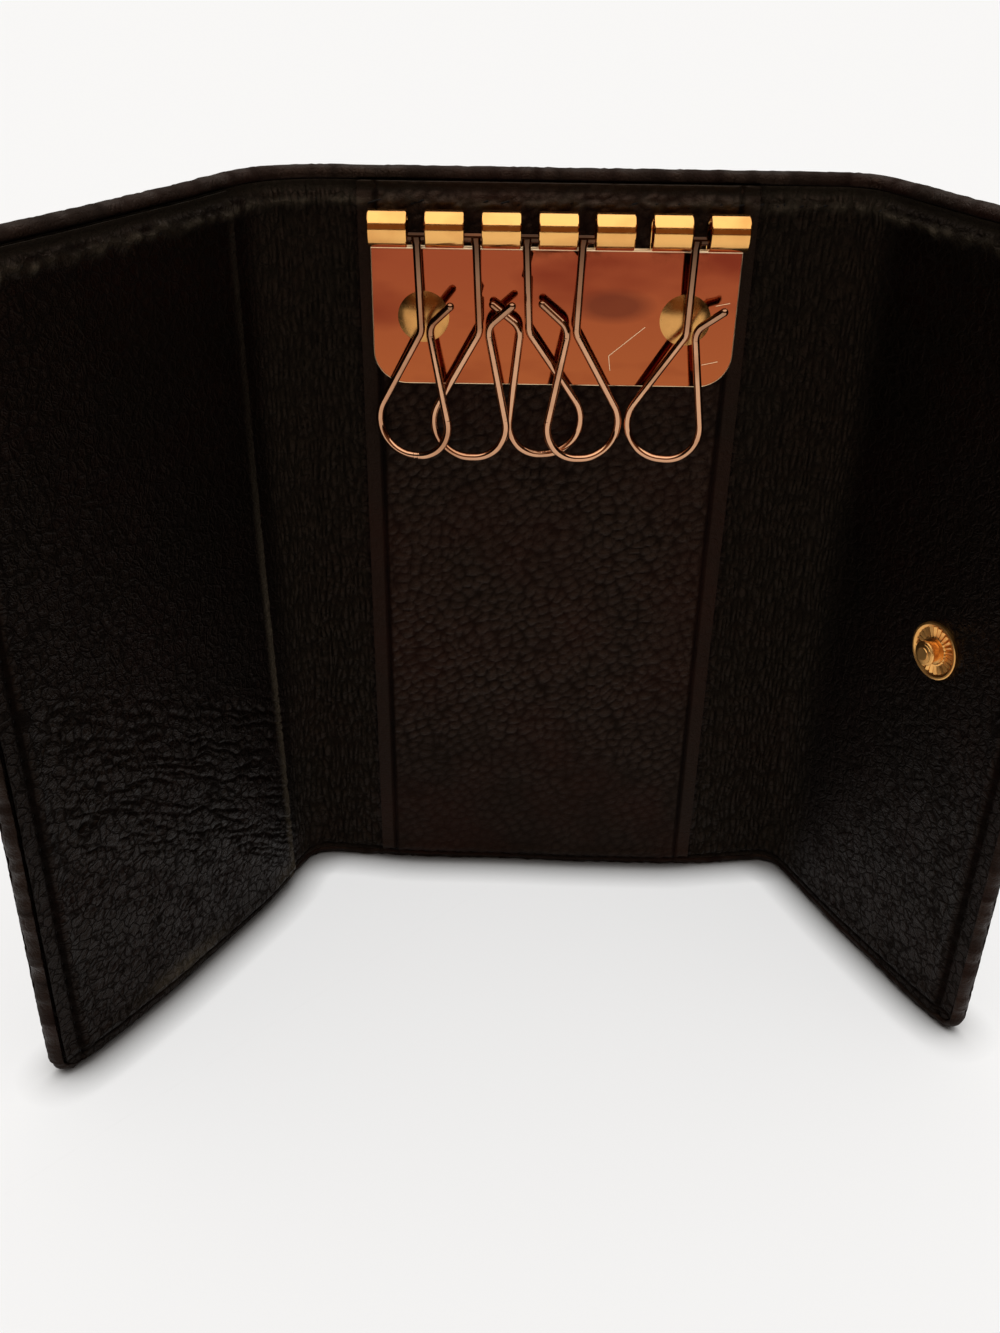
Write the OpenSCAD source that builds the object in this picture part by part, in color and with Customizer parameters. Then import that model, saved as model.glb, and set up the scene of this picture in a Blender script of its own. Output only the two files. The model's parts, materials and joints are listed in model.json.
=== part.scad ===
// Trifold leather key case, standing open on its lower edge.
// X runs along the centre panel, Y into the back of it, Z up. The origin is in the middle
// of the centre panel's lower edge. Each panel is drawn in a panel frame, whose y = 0 is the
// face of the lining and whose +y points out through the outer leather.

/* [Case] */
// Height of the case along its folds
case_h = 115; // [105:1:130]
// Free depth between the centre panel and the closed left flap
key_room = 10.65; // [10:0.05:16]
// Width of the right flap from its fold to its free edge
right_flap_w = 43.75; // [36:0.25:50]
// Angle of the left flap from lying flat, as it stands open
left_open = 60; // [45:1:75]
// Angle of the right flap from lying flat, as it stands open
right_open = 64; // [45:1:75]
// Inner radius of each bend in the leather
bend_r = 2; // [1.5:0.1:2.4]
// Lining between the centre strip and the left fold line
left_margin = 3.6; // [3:0.1:5]
// Lining between the centre strip and the right fold line
right_margin = 0.9; // [0.8:0.1:2]
// Space left beside the closed left flap
flap_clear = 2.1; // [1:0.1:3]

/* [Leather] */
// Thickness of the grained lining
lining_t = 0.8; // [0.6:0.1:1.2]
// Thickness of the stiffening boards
board_t = 0.6; // [0.4:0.1:1]
// Thickness of the outer leather over the boards
leather_t = 1.2; // [0.8:0.1:1.6]
// Width of the turned edge of the outer leather round the lining
rim_w = 1; // [0.8:0.1:1.6]
// Step down from the lining to the turned edge
rim_step = 0.3; // [0.1:0.05:0.5]
// Distance of each board from the edges and the folds
board_inset = 3; // [2:0.25:4]
// Radius of the free corners of the flaps
corner_r = 3.2; // [2:0.2:5]
// Rounding of the turned edges
edge_r = 0.6; // [0.3:0.1:0.8]
// Distance of the border crease from the free edges
crease_inset = 4; // [3:0.25:5]
// Width of a crease
crease_w = 0.5; // [0.3:0.1:0.8]
// Depth of a crease
crease_d = 0.25; // [0.1:0.05:0.3]

/* [Centre strip] */
// Thickness of the centre strip
strip_t = 0.8; // [0.6:0.1:1.2]
// Strip on each side of the key plate
strip_margin = 1.6; // [1:0.1:3]
// Distance of the strip's creases from its sides
strip_crease = 2.4; // [1.5:0.1:3]

/* [Pocket] */
// Distance of the pocket's mouth from the left fold
mouth_inset = 6; // [4:0.25:10]
// How much farther from the fold the mouth is at the top
mouth_slant = 2.4; // [0:0.2:4]
// Thickness of the pocket panel at its stitched border
pocket_t = 0.8; // [0.7:0.1:1.2]
// Gap inside the pocket
pocket_gap = 0.3; // [0.2:0.05:0.4]

/* [Key plate] */
// Width of each rolled tab
tab_w = 5.1; // [4.6:0.1:6]
// Width of each slot between the tabs
slot_w = 2.35; // [2.3:0.05:3]
// Thickness of the sheet
plate_t = 0.6; // [0.5:0.05:0.8]
// Outer radius of the rolled tube
roll_r = 2.4; // [2.3:0.05:2.8]
// Distance from the top of the case to the tube's axis
roll_drop = 7.1; // [6:0.1:9]
// Distance from the tube's axis to the lower edge of the plate
plate_drop = 21.4; // [19:0.2:24]
// Radius of the plate's lower corners
plate_corner_r = 4.6; // [3:0.2:6]
// Angle through which the sheet is rolled
roll_angle = 305; // [290:1:310]
// Plate left below the slots, under the tube
slot_foot = 1.1; // [0.6:0.1:1.6]

/* [Rivets] */
// Distance of each rivet from the end of the plate
rivet_inset = 7; // [6:0.2:9]
// Distance of the rivets below the tube's axis
rivet_drop = 12; // [11:0.2:13]
// Diameter of a rivet's head
rivet_d = 7; // [6:0.2:8]
// Height of a rivet's head
rivet_h = 0.8; // [0.6:0.05:0.9]
// Diameter of a rivet's shank
shank_d = 2.4; // [2:0.1:3]
// Diameter of a rivet's washer
washer_d = 6; // [5:0.2:8]
// Thickness of a rivet's washer
washer_t = 0.3; // [0.2:0.05:0.35]

/* [Hooks] */
// Diameter of the spring wire
wire_d = 1.1; // [0.9:0.05:1.15]
// Diameter of the bar at the head
bar_d = 1.2; // [1.1:0.05:1.3]
// Length of the bar at the head
bar_l = 4.4; // [4:0.1:5]
// Straight shank from the bar to the elbow
shank_l = 11.8; // [10:0.2:13]
// Radius of the shank's elbow
elbow_r = 2; // [1.6:0.1:2.4]
// Length of the leg beside the gate
leg_l = 11.2; // [10:0.2:13.4]
// How far the leg leads sideways, as a share of the hooks' pitch
reach_share = 0.797; // [0.74:0.001:0.84]
// Radius of the loop on the leg's side
loop_leg_r = 5; // [4.8:0.1:5.3]
// Straight stretch at the bottom of the loop
bottom_l = 0.6; // [0.4:0.1:1]
// Radius of the loop on the gate's side
loop_gate_r = 4.6; // [4.4:0.1:4.9]
// How much longer the springy gate is than the leg
gate_over = 0.6; // [0.4:0.1:1]
// Lean of the gate towards the shank
gate_lean = 9; // [8:0.5:9.5]
// Radius of the gate's elbow
tip_r = 2.3; // [2:0.1:2.6]
// Flare of the tip away from the shank
tip_turn = 51; // [45:1:60]
// Twist of the tip out of the hook's plane
tip_twist = 15; // [5:1:20]
// Length of the tip
tip_l = 3.5; // [2.5:0.25:3.5]

/* [Snap fastener] */
// Distance of the snap from the right fold
snap_x = 25.75; // [20:0.25:30]
// Diameter of the stud's flange
flange_d = 8.2; // [7:0.2:10]
// Thickness of the stud's flange
flange_t = 0.7; // [0.5:0.05:0.8]
// Diameter of the stud's bulb
bulb_d = 3.6; // [3.2:0.1:4]
// Diameter of the stud's neck
neck_d = 3; // [2.6:0.1:3.1]
// Length of the stud's neck
neck_l = 0.85; // [0.8:0.05:1]
// Height of the stud above the lining
stud_h = 2.6; // [2.5:0.05:2.8]
// Diameter of the socket
socket_d = 9.4; // [9:0.2:11]
// Diameter of the wire of the socket's spring
spring_wire = 0.45; // [0.35:0.05:0.5]
// Diameter of the cap outside the right flap
cap_d = 10.6; // [9:0.2:12]
// Height of the cap outside the right flap
cap_h = 1.1; // [0.8:0.1:1.4]
// Diameter of the barrels through the flaps
barrel_d = 3; // [2.8:0.1:3.2]
// Thickness of the barrels' walls and flanges
barrel_t = 0.4; // [0.3:0.05:0.45]

/* [Hidden] */
$fn = 64;

// running and seating clearances, the space left in the closed snap, the lift of the folds off
// the surface that the case stands on, and the overrun of a cut
seat_gap = 0.1;
run_gap = 0.05;
snap_clear = 0.2;
fold_lift = 0.4;
cut = 1;

panel_t = lining_t + board_t + leather_t;
inner_y = -panel_t / 2;
snap_z = case_h / 2;

// the closed snap: the stud's tip stays clear of the socket's base, the socket of the flange
snap_gap = barrel_t + snap_clear + stud_h;
socket_h = snap_gap - snap_clear - flange_t;
// the spring snaps round the stud's neck, under its bulb
spring_z = snap_gap - flange_t - neck_l + spring_wire / 2;
bore_d = bulb_d + 2 * seat_gap;
groove_d = bulb_d + 2 * (spring_wire + run_gap);
groove_h = spring_wire + 2 * run_gap;
hole_d = barrel_d + 2 * run_gap;
eyelet_d = flange_d - 2 * barrel_t;

tabs = 7;
plate_w = tabs * tab_w + (tabs - 1) * slot_w;
pitch = tab_w + slot_w;
strip_w = plate_w + 2 * strip_margin;

// fold lines, measured from the middle of the strip
left_inner_x = strip_w / 2 + left_margin;
right_inner_x = strip_w / 2 + right_margin;
left_spine_w = key_room - 2 * bend_r;
right_spine_w = left_spine_w + panel_t + snap_gap;
centre_w = left_inner_x + right_inner_x;
left_flap_w = centre_w + bend_r - flap_clear;
socket_x = centre_w - snap_x;

// the key plate and the hooks' hinge line, in the panel frame
plate_y = -strip_t;
roll_y = plate_y - roll_r;
roll_z = case_h - roll_drop;
rivet_x = plate_w / 2 - rivet_inset;
rivet_z = roll_z - rivet_drop;
bar_z = roll_z - (roll_r - plate_t) + bar_d / 2 + 2 * seat_gap;

// a longer leg keeps its reach, and its gate grows with it
elbow_turn = asin(reach_share * pitch / leg_l);
gate_l = leg_l + gate_over;

// Each hook's slot, turned round or not, slide along the tube as a share of the slot, turn of
// its loop about the shank, sway to the side and lean towards the viewer
hook_slot = [1, 2, 3, 4, 6];
hook_turned = [false, false, true, true, false];
slide_share = [0, 0.17, -0.17, -0.17, -0.17];
hook_yaw = [-18, -9, 5.5, 11, -11.5];
hook_sway = [2.4, 2.6, 2.9, -1.9, -1.5];
hook_lean = [2.9, 3, 0.3, 3.1, 3];

// the wire's straights and bends: length, bend radius, turn, twist before the bend
hook_steps = [
    [shank_l, elbow_r, -elbow_turn, 0],
    [leg_l, loop_leg_r, 90 + elbow_turn, 0],
    [bottom_l, loop_gate_r, 90 + gate_lean, 0],
    [gate_l, tip_r, -(gate_lean + tip_turn), tip_twist],
    [tip_l, 0, 0, 0]];
wire_fn = 16;
bend_fn = 48;
// balls a hair thicker than the wire join its straights and bends, and the straights end just
// inside them
ball_over = 0.02;

black_leather = [0.09, 0.07, 0.06];
black_lining = [0.12, 0.09, 0.08];
grey_board = [0.45, 0.42, 0.38];
gold = [0.9, 0.68, 0.36];
rose_gold = [0.78, 0.6, 0.48];

// Placing: panel frames

module in_centre() translate([0, inner_y, 0]) children();

// a flap's frame: x from the fold to the free edge
module on_right_flap()
    translate([right_inner_x + right_spine_w, inner_y - bend_r, 0])
        rotate([0, 0, -right_open]) translate([0, bend_r, 0]) children();

module on_left_flap()
    mirror([1, 0, 0])
        translate([left_inner_x + left_spine_w, inner_y - bend_r, 0])
            rotate([0, 0, -left_open]) translate([0, bend_r, 0]) children();

// a spine's frame: x from the inner fold line outwards
module on_right_spine() in_centre() translate([right_inner_x, 0, 0]) children();
module on_left_spine() mirror([1, 0, 0]) in_centre() translate([left_inner_x, 0, 0]) children();

// Leather: sheets, turned edges and creases

// a flat piece of thickness t from an outline drawn in x and z, its inner face at y0
module sheet(y0, t) translate([0, y0 + t, 0]) rotate([90, 0, 0]) linear_extrude(t) children();

// the section of a sheet across its height, in y and z, rounded at the top and bottom
module section(y0, t, inset, r) {
    h = case_h - 2 * inset;
    translate([y0, inset + r]) square([t, h - 2 * r]);
    translate([y0 + r, inset]) square([t - 2 * r, h]);
    for (y = [y0 + r, y0 + t - r], z = [inset + r, inset + h - r]) translate([y, z]) circle(r);
}

module along_x(w) rotate([90, 0, 90]) linear_extrude(w) children();

// an outline from x = 0 to a free edge at w with round corners
module free_outline(w, inset, r) {
    h = case_h - 2 * inset;
    translate([0, inset]) square([w - r, h]);
    translate([0, inset + r]) square([w, h - 2 * r]);
    for (z = [inset + r, inset + h - r]) translate([w - r, z]) circle(r);
}

// the outer leather of a flap, with its three free edges rounded
module flap_blank(w) {
    y0 = rim_step;
    t = panel_t - rim_step;
    intersection() {
        sheet(y0, t) free_outline(w, 0, corner_r);
        along_x(w) section(y0, t, 0, edge_r);
        linear_extrude(case_h) {
            translate([0, y0]) square([w - edge_r, t]);
            translate([0, y0 + edge_r]) square([w, t - 2 * edge_r]);
            for (y = [y0 + edge_r, y0 + t - edge_r]) translate([w - edge_r, y]) circle(edge_r);
        }
    }
}

module flap_leather(w) {
    difference() {
        flap_blank(w);
        // the bed of the lining, open towards the fold
        sheet(-cut, cut + lining_t) lining_bed(w);
        sheet(lining_t - cut, cut + board_t) board_bed(w);
    }
}

module lining_bed(w) translate([-cut, 0]) free_outline(w + cut - rim_w, rim_w, corner_r - rim_w);

module board_bed(w)
    translate([board_inset, board_inset])
        square([w - 2 * board_inset, case_h - 2 * board_inset]);

module flap_board(w)
    sheet(lining_t, board_t)
        translate([board_inset + seat_gap, board_inset + seat_gap])
            square([w - 2 * board_inset - 2 * seat_gap, case_h - 2 * board_inset - 2 * seat_gap]);

// a lining or pocket outline inside the turned edge, from x0 at the bottom to the free edge,
// with its fold side slanted towards the top
module inner_outline(x0, w, slant = 0) {
    inset = rim_w + seat_gap;
    intersection() {
        free_outline(w - inset, inset, corner_r - inset);
        polygon([[x0, 0], [x0 + w, 0], [x0 + w, case_h], [x0 + slant, case_h]]);
    }
}

// creases run round the three free sides at a distance from the flap's edges
module border_crease(x0, w, y) {
    x1 = w - crease_inset - crease_w;
    z0 = crease_inset;
    z1 = case_h - crease_inset - crease_w;
    for (z = [z0, z1])
        translate([x0 - cut, y - cut, z]) cube([x1 + crease_w - x0 + cut, cut + crease_d, crease_w]);
    translate([x1, y - cut, z0]) cube([crease_w, cut + crease_d, z1 + crease_w - z0]);
}

// a straight run of outer leather or lining between two fold lines
module run_leather(w)
    difference() {
        along_x(w) section(rim_step, panel_t - rim_step, 0, edge_r);
        translate([-cut, -cut, rim_w]) cube([w + 2 * cut, cut + lining_t, case_h - 2 * rim_w]);
    }

module run_lining(w)
    translate([0, 0, rim_w + seat_gap]) cube([w, lining_t, case_h - 2 * rim_w - 2 * seat_gap]);

// the bend from a spine to its flap, in the flap's frame
module bend(open)
    translate([0, -bend_r, 0]) rotate([0, 0, 90]) rotate_extrude(angle = open) translate([bend_r, 0])
        children();

module bend_leather(open)
    bend(open) difference() {
        section(rim_step, panel_t - rim_step, fold_lift, edge_r);
        translate([-cut, rim_w]) square([cut + lining_t, case_h - 2 * rim_w]);
    }

module bend_lining(open)
    bend(open) translate([0, rim_w + seat_gap])
        square([lining_t, case_h - 2 * rim_w - 2 * seat_gap]);

// Centre panel

module centre_run() translate([-left_inner_x, 0, 0]) children();

module rivet_holes(d, y0, y1)
    for (x = [-rivet_x, rivet_x])
        translate([x, y1, rivet_z]) rotate([90, 0, 0]) cylinder(h = y1 - y0, d = d);

module centre_leather() color(black_leather) in_centre() difference() {
    centre_run() run_leather(centre_w);
    centre_run() sheet(lining_t - cut, cut + board_t) board_bed(centre_w);
}

module centre_board() color(grey_board) in_centre() difference() {
    centre_run() flap_board(centre_w);
    rivet_holes(shank_d + 2 * run_gap, lining_t - cut, lining_t + board_t + cut);
    rivet_holes(washer_d + 2 * seat_gap, lining_t + board_t - washer_t, lining_t + board_t + cut);
}

module centre_lining() color(black_lining) in_centre() difference() {
    centre_run() run_lining(centre_w);
    rivet_holes(shank_d + 2 * run_gap, -cut, lining_t + cut);
}

module centre_strip() color(black_lining) in_centre() difference() {
    translate([-strip_w / 2, -strip_t, rim_w + seat_gap])
        cube([strip_w, strip_t, case_h - 2 * rim_w - 2 * seat_gap]);
    for (side = [-1, 1])
        translate([side * (strip_w / 2 - strip_crease) - crease_w / 2, -strip_t - cut, 0])
            cube([crease_w, cut + crease_d, case_h]);
    rivet_holes(shank_d + 2 * run_gap, -strip_t - cut, cut);
}

// Key plate: one sheet, rolled forward at the top and slotted into tabs

module roll_section()
    difference() {
        circle(roll_r);
        circle(roll_r - plate_t);
        reach = 2 * roll_r;
        polygon([[0, 0], reach * [cos(roll_angle), sin(roll_angle)], [reach, -reach], [reach, 0]]);
    }

module plate_outline()
    translate([-plate_w / 2, roll_z - plate_drop]) {
        r = plate_corner_r;
        translate([r, 0]) square([plate_w - 2 * r, plate_drop]);
        translate([0, r]) square([plate_w, plate_drop - r]);
        for (x = [r, plate_w - r]) translate([x, r]) circle(r);
    }

module key_plate() color(gold) in_centre() difference() {
    union() {
        sheet(plate_y - plate_t, plate_t) plate_outline();
        translate([-plate_w / 2, 0, 0]) along_x(plate_w) translate([roll_y, roll_z]) roll_section();
    }
    slot_z = roll_z - roll_r - slot_foot;
    for (i = [1 : tabs - 1])
        translate([slot_x(i) - slot_w / 2, roll_y - roll_r - cut, slot_z])
            cube([slot_w, 2 * (roll_r + cut), case_h - slot_z]);
    rivet_holes(shank_d + 2 * run_gap, plate_y - plate_t - cut, plate_y + cut);
}

function slot_x(i) = (i - tabs / 2) * pitch;

module plate_rivets() color(gold) in_centre() {
    face = plate_y - plate_t;
    foot = lining_t + board_t;
    dome_r = (rivet_d * rivet_d / 4 + rivet_h * rivet_h) / (2 * rivet_h);
    for (x = [-rivet_x, rivet_x]) translate([x, face, rivet_z]) rotate([90, 0, 0]) {
        rotate_extrude() intersection() {
            translate([0, rivet_h - dome_r]) circle(dome_r, $fn = 256);
            square([rivet_d / 2, rivet_h]);
        }
        translate([0, 0, face - foot]) cylinder(h = foot - face, d = shank_d);
    }
}

module rivet_washers() color(gold) in_centre() difference() {
    foot = lining_t + board_t;
    rivet_holes(washer_d, foot - washer_t, foot);
    rivet_holes(shank_d + 2 * run_gap, foot - washer_t - cut, foot + cut);
}

// Hooks: one spring wire each, bent in a plane, with a bar across its head

// one straight and the bend after it: the wire heads down, and a positive turn takes it
// towards +x
module wire(steps, i = 0) {
    length = steps[i][0];
    r = steps[i][1];
    turn = steps[i][2];
    side = turn < 0 ? -1 : 1;
    top = i > 0 ? ball_over : 0;
    translate([0, 0, ball_over - length])
        cylinder(h = length - ball_over - top, d = wire_d, $fn = wire_fn);
    if (i > 0) sphere(d = wire_d + ball_over, $fn = wire_fn);
    translate([0, 0, -length]) rotate([0, 0, steps[i][3]]) {
        sphere(d = wire_d + ball_over, $fn = wire_fn);
        if (r > 0) {
            translate([side * r, 0, 0]) mirror([side < 0 ? 1 : 0, 0, 0])
                rotate([90, 0, 0]) rotate([0, 0, 180]) rotate_extrude(angle = abs(turn), $fn = bend_fn)
                    translate([r, 0]) circle(d = wire_d, $fn = wire_fn);
            if (i + 1 < len(steps))
                translate([side * r, 0, 0]) rotate([0, -turn, 0]) translate([-side * r, 0, 0])
                    wire(steps, i + 1);
        }
    }
}

// k counts the hooks from the left
module hook(k) color(rose_gold) in_centre()
    translate([slot_x(hook_slot[k]) + slide_share[k] * slot_w, roll_y, bar_z]) {
        translate([-bar_l / 2, 0, 0]) rotate([0, 90, 0]) cylinder(h = bar_l, d = bar_d, $fn = 24);
        rotate([-hook_lean[k], 0, 0]) rotate([0, -hook_sway[k], 0]) {
            // the head flares from the wire to the bar
            translate([0, 0, -bar_d]) cylinder(h = bar_d, d1 = wire_d, d2 = 1.6 * wire_d, $fn = 24);
            rotate([0, 0, hook_yaw[k] + (hook_turned[k] ? 180 : 0)]) wire(hook_steps);
        }
    }

module hook_1() hook(0);
module hook_2() hook(1);
module hook_3() hook(2);
module hook_4() hook(3);
module hook_6() hook(4);

// Spines and bends

module left_spine_leather() color(black_leather) on_left_spine() run_leather(left_spine_w);
module left_spine_lining() color(black_lining) on_left_spine() run_lining(left_spine_w);
module left_fold_leather() color(black_leather) on_left_flap() bend_leather(left_open);
module left_fold_lining() color(black_lining) on_left_flap() bend_lining(left_open);
module right_spine_leather() color(black_leather) on_right_spine() run_leather(right_spine_w);
module right_spine_lining() color(black_lining) on_right_spine() run_lining(right_spine_w);
module right_fold_leather() color(black_leather) on_right_flap() bend_leather(right_open);
module right_fold_lining() color(black_lining) on_right_flap() bend_lining(right_open);

// Left flap, with its slip pocket and the socket of the snap

module snap_hole(x, d, y0, y1)
    translate([x, y1, snap_z]) rotate([90, 0, 0]) cylinder(h = y1 - y0, d = d);

module left_flap_leather() color(black_leather) on_left_flap() difference() {
    flap_leather(left_flap_w);
    snap_hole(socket_x, hole_d, lining_t, panel_t + cut);
}

module left_flap_board() color(grey_board) on_left_flap() difference() {
    flap_board(left_flap_w);
    snap_hole(socket_x, hole_d, lining_t - cut, panel_t);
}

module left_flap_lining() color(black_lining) on_left_flap() difference() {
    sheet(0, lining_t) inner_outline(0, left_flap_w);
    // a shallow bed behind it for the eyelet's flange
    snap_hole(socket_x, eyelet_d + 2 * seat_gap, lining_t - barrel_t, lining_t + cut);
}

module left_pocket_panel() color(black_lining) on_left_flap() difference() {
    sheet(-pocket_t, pocket_t) inner_outline(mouth_inset, left_flap_w, mouth_slant);
    // the pocket itself, open at the mouth
    translate([0, -pocket_gap, crease_inset])
        cube([left_flap_w - crease_inset, pocket_gap + cut, case_h - 2 * crease_inset]);
    border_crease(mouth_inset, left_flap_w, -pocket_t);
}

// Snap fastener. Each piece is turned about the snap's axis, with its section drawn as
// radius and height above the face that it stands on.

module snap_axis(x, y, inward) translate([x, y, snap_z]) rotate([inward ? 90 : -90, 0, 0]) children();

module snap_socket() color(gold) on_left_flap() snap_axis(socket_x, panel_t, false) difference() {
    rotate_extrude() {
        wall = (socket_d - bore_d) / 2;
        bead = socket_h / 4;
        translate([0, 0]) square([socket_d / 2 - bead, barrel_t]);
        translate([bore_d / 2, 0]) square([wall - bead, socket_h - bead]);
        translate([bore_d / 2 + bead, 0]) square([wall - 3 * bead, socket_h]);
        translate([socket_d / 2 - bead, bead]) circle(bead);
        translate([bore_d / 2 + bead, socket_h - bead]) circle(bead);
        translate([socket_d / 2 - 2 * bead, socket_h - bead]) circle(bead);
    }
    // the barrel's hole and the groove of the spring
    translate([0, 0, -cut]) cylinder(h = 2 * cut, d = hole_d);
    translate([0, 0, spring_z - groove_h / 2]) cylinder(h = groove_h, d = groove_d);
}

module socket_spring() color(rose_gold) on_left_flap() snap_axis(socket_x, panel_t, false)
    translate([0, 0, spring_z]) rotate([0, 0, 20])
        rotate_extrude(angle = 320)
            translate([neck_d / 2 + run_gap + spring_wire / 2, 0]) circle(d = spring_wire, $fn = 16);

module socket_eyelet() color(gold) on_left_flap() snap_axis(socket_x, lining_t, false) difference() {
    union() {
        translate([0, 0, -barrel_t]) cylinder(h = barrel_t, d = eyelet_d);
        cylinder(h = panel_t - lining_t + barrel_t, d = barrel_d);
    }
    translate([0, 0, barrel_t]) cylinder(h = panel_t, d = barrel_d - 2 * barrel_t);
}

module snap_stud() color(gold) on_right_flap() snap_axis(snap_x, 0, true) {
    rotate_extrude() {
        round_disc(flange_d, 0, flange_t);
        square([neck_d / 2, (flange_t + neck_l + stud_h) / 2]);
        round_disc(bulb_d, flange_t + neck_l, stud_h);
    }
    rotate([180, 0, 0]) difference() {
        cylinder(h = panel_t, d = barrel_d);
        translate([0, 0, flange_t]) cylinder(h = panel_t, d = barrel_d - 2 * barrel_t);
    }
}

// half the section of a disc with a round edge, from z0 to z1
module round_disc(d, z0, z1) {
    edge = (z1 - z0) / 2;
    translate([0, z0]) square([d / 2 - edge, 2 * edge]);
    translate([d / 2 - edge, z0 + edge]) circle(edge);
}

module stud_cap() color(gold) on_right_flap() snap_axis(snap_x, panel_t, false) {
    dome_r = (cap_d * cap_d / 4 + cap_h * cap_h) / (2 * cap_h);
    rotate_extrude() intersection() {
        translate([0, cap_h - dome_r]) circle(dome_r, $fn = 256);
        square([cap_d / 2, cap_h]);
    }
    peg_l = panel_t - flange_t - seat_gap;
    translate([0, 0, -peg_l]) cylinder(h = peg_l, d = barrel_d - 2 * barrel_t - 2 * run_gap);
}

// Right flap, with the stud of the snap and its cap

module right_flap_leather() color(black_leather) on_right_flap() difference() {
    flap_leather(right_flap_w);
    snap_hole(snap_x, hole_d, lining_t, panel_t + cut);
}

module right_flap_board() color(grey_board) on_right_flap() difference() {
    flap_board(right_flap_w);
    snap_hole(snap_x, hole_d, lining_t - cut, panel_t);
}

module right_flap_lining() color(black_lining) on_right_flap() difference() {
    sheet(0, lining_t) inner_outline(0, right_flap_w);
    border_crease(0, right_flap_w, 0);
    snap_hole(snap_x, hole_d, -cut, lining_t + cut);
}

centre_leather();
centre_board();
centre_lining();
centre_strip();
key_plate();
plate_rivets();
rivet_washers();
hook_1();
hook_2();
hook_3();
hook_4();
hook_6();
left_spine_leather();
left_spine_lining();
left_fold_leather();
left_fold_lining();
left_flap_leather();
left_flap_board();
left_flap_lining();
left_pocket_panel();
snap_socket();
socket_spring();
socket_eyelet();
right_spine_leather();
right_spine_lining();
right_fold_leather();
right_fold_lining();
right_flap_leather();
right_flap_board();
right_flap_lining();
snap_stud();
stud_cap();
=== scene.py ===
# A trifold key case of pebbled leather with gold fittings, standing open on its lower edge
import bpy, bmesh, json, math
import numpy as np
from mathutils import Matrix, Vector

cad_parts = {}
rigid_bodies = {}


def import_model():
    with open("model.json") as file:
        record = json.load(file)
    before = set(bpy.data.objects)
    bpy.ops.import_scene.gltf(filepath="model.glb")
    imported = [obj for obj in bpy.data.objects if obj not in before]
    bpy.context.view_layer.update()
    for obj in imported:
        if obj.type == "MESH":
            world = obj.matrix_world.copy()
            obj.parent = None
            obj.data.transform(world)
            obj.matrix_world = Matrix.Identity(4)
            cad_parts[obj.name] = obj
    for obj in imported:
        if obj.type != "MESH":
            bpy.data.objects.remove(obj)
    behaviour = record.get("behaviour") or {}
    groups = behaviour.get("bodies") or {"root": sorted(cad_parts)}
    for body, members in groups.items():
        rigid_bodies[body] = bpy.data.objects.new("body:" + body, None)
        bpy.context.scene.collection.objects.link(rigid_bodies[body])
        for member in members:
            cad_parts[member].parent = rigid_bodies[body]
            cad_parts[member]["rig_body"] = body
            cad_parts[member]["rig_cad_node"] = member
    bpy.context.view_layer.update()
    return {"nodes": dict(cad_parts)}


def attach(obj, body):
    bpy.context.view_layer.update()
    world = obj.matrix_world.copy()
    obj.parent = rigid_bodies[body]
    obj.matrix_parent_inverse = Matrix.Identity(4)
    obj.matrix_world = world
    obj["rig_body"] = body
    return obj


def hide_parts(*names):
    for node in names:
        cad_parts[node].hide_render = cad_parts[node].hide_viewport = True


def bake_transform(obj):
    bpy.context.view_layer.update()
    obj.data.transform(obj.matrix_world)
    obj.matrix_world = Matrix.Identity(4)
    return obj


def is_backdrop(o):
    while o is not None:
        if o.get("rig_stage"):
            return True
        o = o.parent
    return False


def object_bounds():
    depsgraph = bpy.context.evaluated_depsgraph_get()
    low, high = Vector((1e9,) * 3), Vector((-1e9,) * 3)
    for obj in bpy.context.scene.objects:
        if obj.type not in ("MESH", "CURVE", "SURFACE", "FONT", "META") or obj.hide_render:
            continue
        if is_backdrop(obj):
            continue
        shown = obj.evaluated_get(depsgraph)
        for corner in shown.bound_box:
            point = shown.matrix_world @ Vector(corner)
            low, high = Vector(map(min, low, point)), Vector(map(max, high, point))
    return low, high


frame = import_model()
bpy.ops.object.select_all(action="DESELECT")
nodes = frame["nodes"]
print("frame loaded:", len(nodes), "nodes")


def linearColour(hexText):
    parts = [int(hexText[i:i + 2], 16) / 255 for i in (1, 3, 5)]
    return [c / 12.92 if c <= 0.04045 else ((c + 0.055) / 1.055) ** 2.4 for c in parts] + [1]


def addNode(tree, kind, settings={}, inputs={}):
    node = tree.nodes.new(kind)
    for key, value in settings.items():
        setattr(node, key, value)
    for key, value in inputs.items():
        if isinstance(value, bpy.types.NodeSocket):
            tree.links.new(value, node.inputs[key])
        else:
            node.inputs[key].default_value = value
    return node


def ranged(tree, value, low, high, first=0.0, last=1.0):
    return addNode(tree, "ShaderNodeMapRange", {}, {0: value, 1: low, 2: high, 3: first, 4: last}).outputs[0]


def mixed(tree, share, first, second):
    first, second = [linearColour(c) if isinstance(c, str) else c for c in (first, second)]
    return addNode(tree, "ShaderNodeMix", {"data_type": "RGBA"}, {0: share, 6: first, 7: second}).outputs[2]


def computed(tree, operation, *values):
    return addNode(tree, "ShaderNodeMath", {"operation": operation}, dict(enumerate(values))).outputs[0]


def noise(tree, vector, scale, detail, roughness=0.5):
    return addNode(tree, "ShaderNodeTexNoise", {},
                   {"Vector": vector, "Scale": scale, "Detail": detail, "Roughness": roughness}).outputs[0]


def newMaterial(name):
    material = bpy.data.materials.new(name)
    material.use_nodes = True
    material.node_tree.nodes.clear()
    return material, material.node_tree


def finishMaterial(tree, shader):
    addNode(tree, "ShaderNodeOutputMaterial", {}, {"Surface": shader.outputs[0]})


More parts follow.
